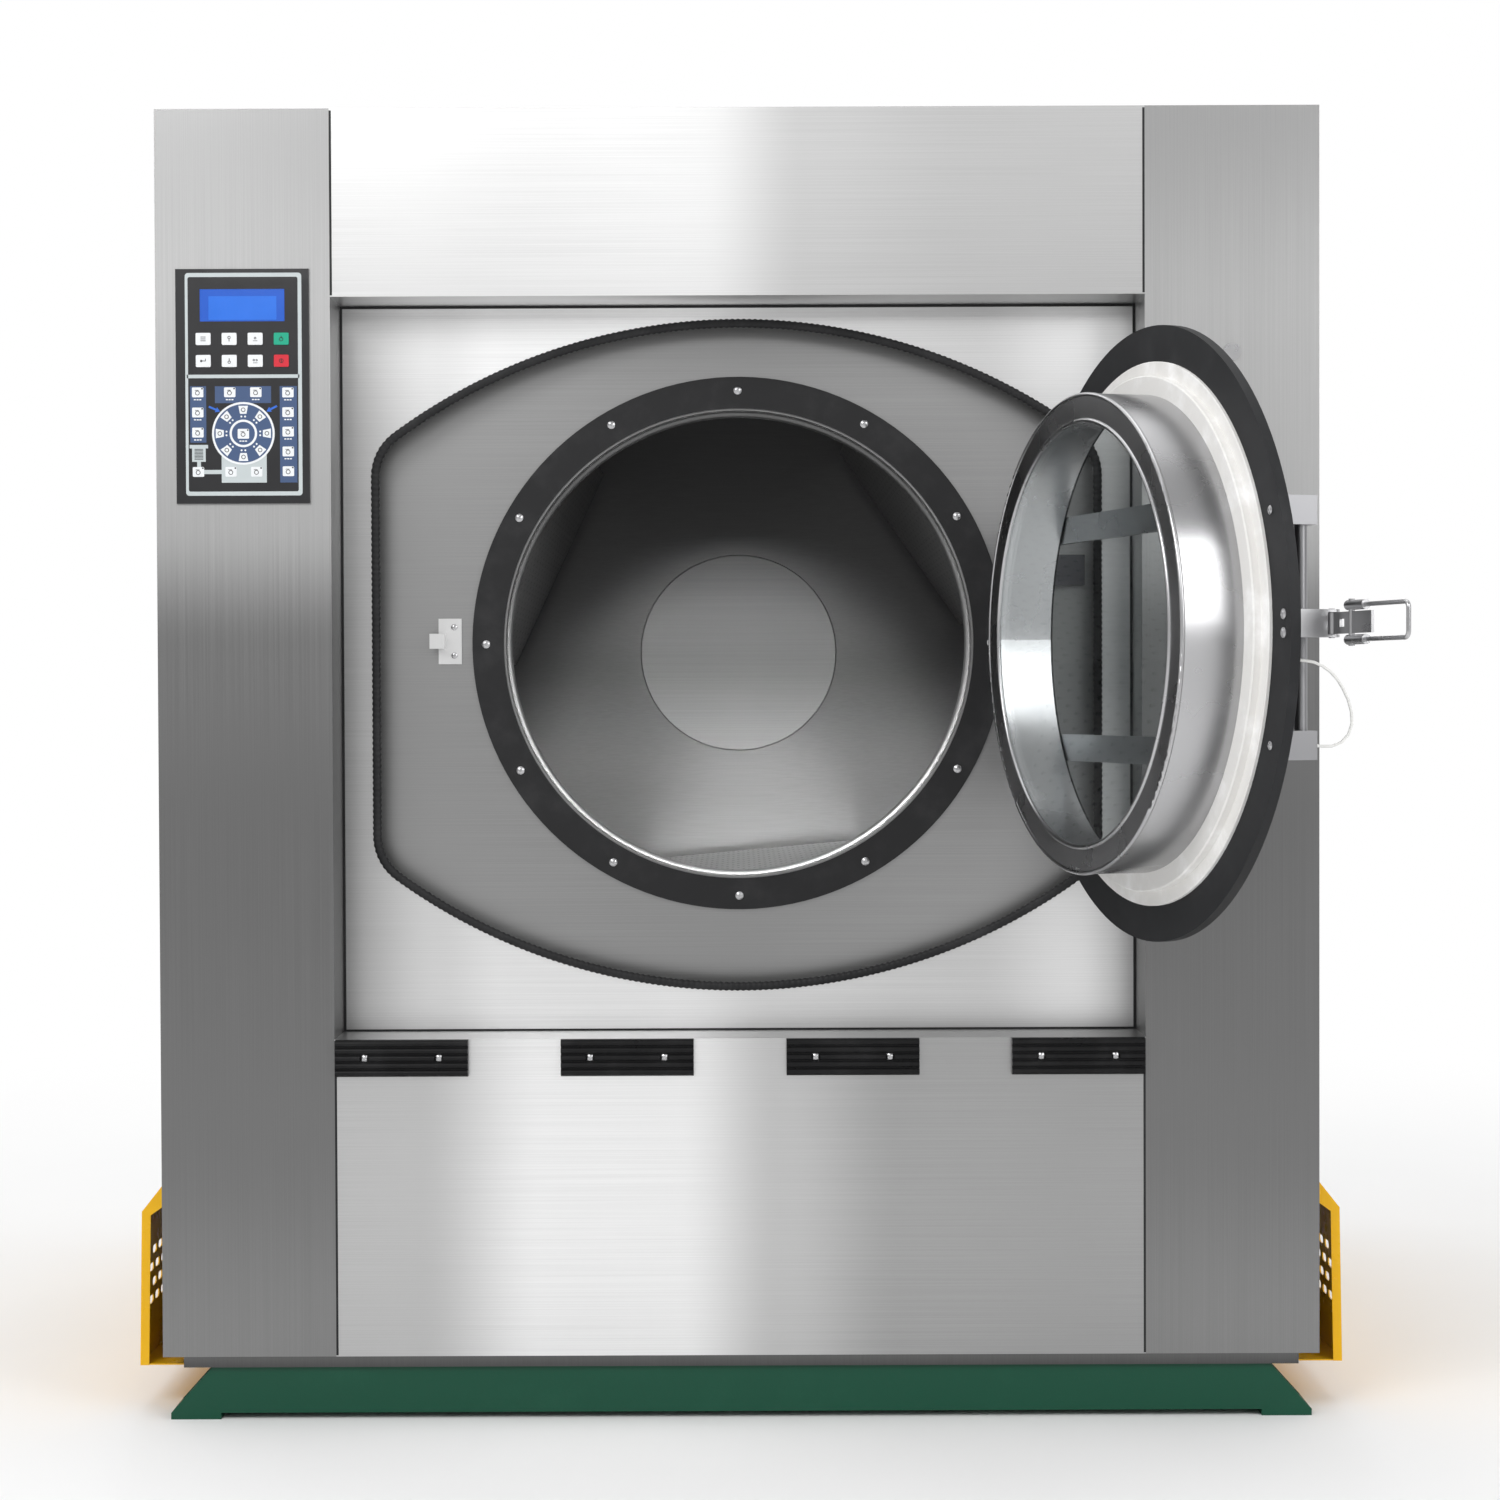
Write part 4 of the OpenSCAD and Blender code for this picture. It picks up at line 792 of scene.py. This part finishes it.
class Film:
    """One colour of the printed film, gathered into a single mesh."""

    def __init__(self, centre, face):
        self.centre, self.face, self.mesh = centre, face, bmesh.new()

    def shape(self, outline, layer):
        """An outline in millimetres, raised so many ink layers from the face."""
        points = [(self.centre[0] + x * MM, self.centre[2] + z * MM) for x, z in outline]
        add_prism(self.mesh, points, self.face - layer * LAYER, self.face + LAYER / 4)

    def rect(self, low_x, low_z, high_x, high_z, layer, radius=0.4):
        self.shape(rounded_rect((low_x + high_x) / 2, (low_z + high_z) / 2, high_x - low_x, high_z - low_z,
                                radius, 3), layer)

    def frame(self, outer, inner, layer):
        lines = [[(self.centre[0] + x * MM, self.centre[2] + z * MM) for x, z in line]
                 for line in (outer, inner)]
        add_frame(self.mesh, *lines, self.face - layer * LAYER, self.face + LAYER / 4)

    def done(self, name, body, finish, slot):
        return piece(name, self.mesh, body, finish, smooth=False)


def dial_key(turn):
    """The outline of one key of the dial: wider outside than inside."""
    points = [(-7.4, 6.2), (7.4, 6.2), (5.0, -6.2), (-5.0, -6.2)]
    out = []
    for x, r in points:
        out.append((DIAL[0] + x * math.cos(turn) + (DIAL_KEY_R + r) * math.sin(turn),
                    DIAL[1] - x * math.sin(turn) + (DIAL_KEY_R + r) * math.cos(turn)))
    return out


def arrow(tail, head):
    """A flat arrow's outline."""
    a, b = Vector(tail), Vector(head)
    along = (b - a).normalized()
    side = Vector((-along.y, along.x))
    neck = b - along * 7.0
    line = [a + side * 1.5, neck + side * 1.5, neck + side * 4.2, b, neck - side * 4.2, neck - side * 1.5,
            a - side * 1.5]
    return [tuple(p) for p in line]


class LAUNDRY_OT_keypad(bpy.types.Operator):
    """The keypad's printed film, its small keys and the marks on the keys"""

    bl_idname = "laundry.keypad"
    bl_label = "Keypad"
    bl_options = {"REGISTER", "UNDO"}

    def execute(self, context):
        centre = node_centre("keypad_bezel")
        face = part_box("keypad_bezel")[0][1]
        grey, blue, white, dark, bright = (Film(centre, face) for _ in range(5))

        outer, inner = FILM_FRAME
        grey.frame(rounded_rect(*outer), rounded_rect(*inner), 1)
        grey.rect(*FILM_DIVIDER, 1)
        for rect in FILM_GREY:
            grey.rect(*rect, 1)
        for rect in FILM_BLUE:
            blue.rect(*rect, 1)
        blue.shape(circle(*DIAL, DIAL_R[1] + 0.5, 64), 2)
        for a, b in ((0, 1), (2, 3)):
            white.frame(circle(*DIAL, DIAL_R[a], 64), circle(*DIAL, DIAL_R[b], 64), 3)
        for tail, head in ARROWS:
            bright.shape(arrow(tail, head), 1)

        wide, high = SMALL_KEY
        for x, z in SMALL_KEYS:
            white.rect(x - wide / 2, z - high / 2, x + wide / 2, z + high / 2, 4, 1.6)
            corner_x, corner_z = x + wide / 2 - 0.8, z + high / 2 - 0.8
            dark.rect(corner_x - 2.4, corner_z - 2.2, corner_x, corner_z, 5)
            dark.frame(circle(x - 0.4, z - 1.0, 3.6, 24), circle(x - 0.4, z - 1.0, 2.6, 24), 5)
            dark.rect(x - 4.4, z + 2.8, x + 1.6, z + 3.6, 5)
            if z > LOWEST_LEGEND:
                for k in range(3):
                    left = x - 6 + LEGEND_PITCH * k
                    white.rect(left, z - 12.2, left + 3.2, z - 10.4, 4, 0.3)
        for k in range(DIAL_KEYS):
            turn = 2 * math.pi * k / DIAL_KEYS
            white.shape(dial_key(turn), 4)
            cx = DIAL[0] + DIAL_KEY_R * math.sin(turn)
            cz = DIAL[1] + DIAL_KEY_R * math.cos(turn)
            dark.frame(circle(cx, cz, 3.4, 24), circle(cx, cz, 2.4, 24), 5)
            for side in (-1, 1):
                dot = turn + side * DIAL_DOT_TURN
                rx = DIAL[0] + DIAL_DOT_R * math.sin(dot)
                rz = DIAL[1] + DIAL_DOT_R * math.cos(dot)
                white.shape(circle(rx, rz, 1.5, 12), 4)
        for k in range(CARD_LINES):
            low = CARD_LOW + CARD_PITCH * k
            dark.rect(-75.0, low, -61.5, low + 1.0, 2, 0.3)

        grey.done("film_frame", "cabinet", "print_grey", "keypad_black")
        blue.done("film_fields", "cabinet", "print_blue", "keypad_black")
        bright.done("film_arrows", "cabinet", "print_bright", "display_blue")
        white.done("film_keys", "cabinet", "key_white", "key_white")
        dark.done("film_marks", "cabinet", "keypad_black", "keypad_black")

        glow = Film(centre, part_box("display_window")[0][1])
        glow.rect(*GLOW, 1, 1.0)
        glow.done("display_glow", "cabinet", "display_glow", "display_blue")

        for name, (strokes, dots) in KEY_MARKS.items():
            marks = Film(node_centre(name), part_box(name)[0][1])
            for stroke in strokes:
                marks.rect(*stroke, 1, 0.3)
            for x, z, radius in dots:
                marks.frame(circle(x, z, radius, 24), circle(x, z, radius - 0.9, 24), 2)
            marks.done(name + "_mark", name, "keypad_black", "keypad_black")
        return {"FINISHED"}


# The cut-out's arcs and corners, in metres
CUT_ARC_R = 0.920
CUT_CORNER = 0.080
TRIM_SKIN = 0.008
TRIM_HALF_WIDE = 0.0072


def cutout_line(grow, step):
    """Points and outward normals along the cut-out's edge, evenly spaced."""
    low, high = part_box("cutout_trim")
    skin = TRIM_SKIN
    half_w = (high[0] - low[0]) / 2 - skin
    half_h = (high[2] - low[2]) / 2 - skin
    middle = (low[2] + high[2]) / 2
    arc_z = half_h - CUT_ARC_R
    corner_x = half_w - CUT_CORNER
    corner_z = arc_z + math.sqrt((CUT_ARC_R - CUT_CORNER) ** 2 - corner_x ** 2)
    meet = math.atan2(corner_z - arc_z, corner_x)
    runs = []
    for turn in range(2):
        sign = 1 - 2 * turn
        side_x = sign * (half_w + grow)
        runs.append(("line", (side_x, -sign * corner_z), (side_x, sign * corner_z)))
        base = math.pi * turn
        runs.append(("arc", (sign * corner_x, sign * corner_z), CUT_CORNER + grow, base, base + meet))
        runs.append(("arc", (0, sign * arc_z), CUT_ARC_R + grow, base + meet, base + math.pi - meet))
        runs.append(("arc", (-sign * corner_x, sign * corner_z), CUT_CORNER + grow, base + math.pi - meet,
                     base + math.pi))
    points = []
    for run in runs:
        if run[0] == "line":
            a, b = Vector(run[1]), Vector(run[2])
            count = max(1, round((b - a).length / step))
            normal = Vector((math.copysign(1, a.x), 0))
            points += [(a.lerp(b, k / count), normal) for k in range(count)]
        else:
            _, centre, radius, start, end = run
            count = max(1, round(radius * (end - start) / step))
            for k in range(count):
                angle = start + (end - start) * k / count
                normal = Vector((math.cos(angle), math.sin(angle)))
                points.append((Vector(centre) + normal * radius, normal))
    return [(Vector((p.x, p.y + middle)), n) for p, n in points]


class LAUNDRY_OT_trim(bpy.types.Operator):
    """The ribbed rubber trim round the cut-out"""

    bl_idname = "laundry.trim"
    bl_label = "Cut-out trim"
    bl_options = {"REGISTER", "UNDO"}

    def execute(self, context):
        low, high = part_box("cutout_trim")
        pitch = piece_settings().trim_rib
        samples = 4
        line = cutout_line(0.0005, pitch / samples)
        middle_y = (low[1] + high[1]) / 2
        half_depth = (high[1] - low[1]) / 2 - 0.0002
        sides = 12
        mesh = bmesh.new()
        rings = []
        for i, (point, normal) in enumerate(line):
            rib = (1.0, 1.0, 0.86, 0.86)[i % samples]
            ring = []
            for k in range(sides):
                angle = 2 * math.pi * k / sides
                c, s = math.cos(angle), math.sin(angle)
                across = math.copysign(abs(c) ** 0.6, c) * TRIM_HALF_WIDE * rib
                deep = math.copysign(abs(s) ** 0.6, s) * half_depth * (0.5 + 0.5 * rib)
                place = point + normal * across
                ring.append(mesh.verts.new((place.x, middle_y + deep, place.y)))
            rings.append(ring)
        for i, ring in enumerate(rings):
            after = rings[(i + 1) % len(rings)]
            for k in range(sides):
                j = (k + 1) % sides
                mesh.faces.new((ring[k], ring[j], after[j], after[k]))
        obj = piece("trim_ribbed", mesh, "cabinet", "black_rubber", angle=50)
        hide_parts("cutout_trim")
        return {"FINISHED"}


class LAUNDRY_OT_seams(bpy.types.Operator):
    """Dark strips in the joints between the front's sheets: sealing rubber that also stands for painted shade
    in the gaps, along the recess and under the header's edge
    """

    bl_idname = "laundry.seams"
    bl_label = "Sheet joints"
    bl_options = {"REGISTER", "UNDO"}

    def execute(self, context):
        # Painted shade: these dark strips stand partly for sealing rubber and partly for the shade in the
        # sheets' gaps, along the recess and under the header's edge
        mesh = bmesh.new()
        width = 0.0035
        proud = 0.0005
        gap = 0.002
        edge_r = 0.0003
        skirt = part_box("lower_panel")[0][2]
        for side in (-1, 1):
            x = side * (COLUMN_EDGE - width / 2)
            left, right = x - width / 2, x + width / 2
            add_box(mesh, (left, FRONT_Y - proud, skirt + gap),
                    (right, FRONT_Y + proud, LEDGE_Z - gap), edge_r)
            add_box(mesh, (left, PANEL_Y - gap, LEDGE_Z), (right, PANEL_Y + proud, HEADER_Z), edge_r)
            add_box(mesh, (left, FRONT_Y - proud, HEADER_Z + gap),
                    (right, FRONT_Y + proud, CABINET_TOP - 0.003), edge_r)
        end = COLUMN_EDGE - width
        add_box(mesh, (-end, PANEL_Y - gap, HEADER_Z - 0.004), (end, PANEL_Y + proud, HEADER_Z), edge_r)
        add_box(mesh, (-end, PANEL_Y - gap, LEDGE_Z), (end, PANEL_Y + proud, LEDGE_Z + 0.003), edge_r)
        piece("seam_strips_and_shade", mesh, "cabinet", "black_rubber", smooth=False)
        return {"FINISHED"}


class LAUNDRY_OT_side_screws(bpy.types.Operator):
    """The pan-head screws along the side sheets' edges"""

    bl_idname = "laundry.side_screws"
    bl_label = "Side screws"
    bl_options = {"REGISTER", "UNDO"}

    def execute(self, context):
        head = [(0.0003, 0.0001), (0.0066, 0.0001), (0.0066, 0.0007), (0.0052, 0.0020), (0.0028, 0.0025),
                (0.0022, 0.0016), (0.0003, 0.0016)]
        low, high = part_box("right_side_panel")
        inset = 0.028
        row_pitch = 0.19
        top_pitch = 0.23
        mesh = bmesh.new()
        for side in (-1, 1):
            outward = Matrix.Rotation(-side * math.pi / 2, 4, "Z")
            places = [(y, low[2] + 0.42 + k * row_pitch)
                      for y in (low[1] + inset, high[1] - inset) for k in range(8)]
            places += [(low[1] + 0.2 + k * top_pitch, high[2] - inset) for k in range(6)]
            for y, z in places:
                add_turned(mesh, head, Matrix.Translation((side * HALF_WIDTH, y, z)) @ outward, 20)
        piece("side_screws", mesh, "cabinet", "machined_steel", angle=30)
        return {"FINISHED"}


SPRING_AT = (0.560, 0.450)
SPRING_WIRE_R = 0.009
SPRING_TURNS = 7


class LAUNDRY_OT_springs(bpy.types.Operator):
    """The four coil springs, which stretch between the base and the tub's cradle"""

    bl_idname = "laundry.springs"
    bl_label = "Springs"
    bl_options = {"REGISTER", "UNDO"}

    def execute(self, context):
        low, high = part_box("springs")
        wire = SPRING_WIRE_R
        mean_r = high[0] - SPRING_AT[0] - wire
        closed = 2.05 * wire
        knots = [(0, low[2] + wire), (1, low[2] + wire + closed), (SPRING_TURNS - 1, high[2] - wire - closed),
                 (SPRING_TURNS, high[2] - wire)]
        sides = piece_settings().coil_sides
        per_turn = 36
        up = Vector((0, 0, 1))
        mesh = bmesh.new()
        for sx in (-1, 1):
            for sy in (-1, 1):
                rings = []
                for i in range(SPRING_TURNS * per_turn + 1):
                    turn = i / per_turn
                    for (t0, z0), (t1, z1) in zip(knots, knots[1:]):
                        if turn <= t1:
                            z = z0 + (z1 - z0) * (turn - t0) / (t1 - t0)
                            break
                    angle = 2 * math.pi * turn
                    out = Vector((math.cos(angle), math.sin(angle), 0))
                    middle = Vector((sx * SPRING_AT[0], sy * SPRING_AT[1], z)) + out * mean_r
                    round_wire = [2 * math.pi * k / sides for k in range(sides)]
                    rings.append([mesh.verts.new(middle + wire * (math.cos(a) * out + math.sin(a) * up))
                                  for a in round_wire])
                for a, b in zip(rings, rings[1:]):
                    for k in range(sides):
                        j = (k + 1) % sides
                        mesh.faces.new((a[k], a[j], b[j], b[k]))
                mesh.faces.new(rings[0])
                mesh.faces.new(rings[-1])
        obj = piece("coil_springs", mesh, None, "spring_steel")
        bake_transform(obj)
        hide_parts("springs")
        return {"FINISHED"}


STEPS = (
    LAUNDRY_OT_stage,
    LAUNDRY_OT_finish,
    LAUNDRY_OT_tube,
    LAUNDRY_OT_keypad,
    LAUNDRY_OT_trim,
    LAUNDRY_OT_seams,
    LAUNDRY_OT_side_screws,
    LAUNDRY_OT_springs,
)


# ------------------------------------------------------------------ panel


class LAUNDRY_PT_panel(bpy.types.Panel):
    """The machine's settings and its steps"""

    bl_idname = "LAUNDRY_PT_panel"
    bl_label = "Laundry machine"
    bl_space_type = "VIEW_3D"
    bl_region_type = "UI"
    bl_category = "Laundry"

    def draw(self, context):
        layout = self.layout
        for title, settings in (("Stage", stage_settings()), ("Finish", finish_settings()),
                                ("Pieces", piece_settings())):
            box = layout.box()
            box.label(text=title)
            for key in settings.__annotations__:
                box.prop(settings, key)
        for step in STEPS:
            layout.operator(step.bl_idname)


SETTINGS = {
    "laundry_stage": LaundryStageSettings,
    "laundry_finish": LaundryFinishSettings,
    "laundry_pieces": LaundryPieceSettings,
}


def register():
    for cls in (*SETTINGS.values(), *STEPS, LAUNDRY_PT_panel):
        bpy.utils.register_class(cls)
    for name, cls in SETTINGS.items():
        setattr(bpy.types.Scene, name, PointerProperty(type=cls))


def unregister():
    for name in SETTINGS:
        delattr(bpy.types.Scene, name)
    for cls in reversed((*SETTINGS.values(), *STEPS, LAUNDRY_PT_panel)):
        bpy.utils.unregister_class(cls)


def main():
    register()
    for step in STEPS:
        group, name = step.bl_idname.split(".")
        getattr(getattr(bpy.ops, group), name)()


if __name__ == "__main__":
    main()
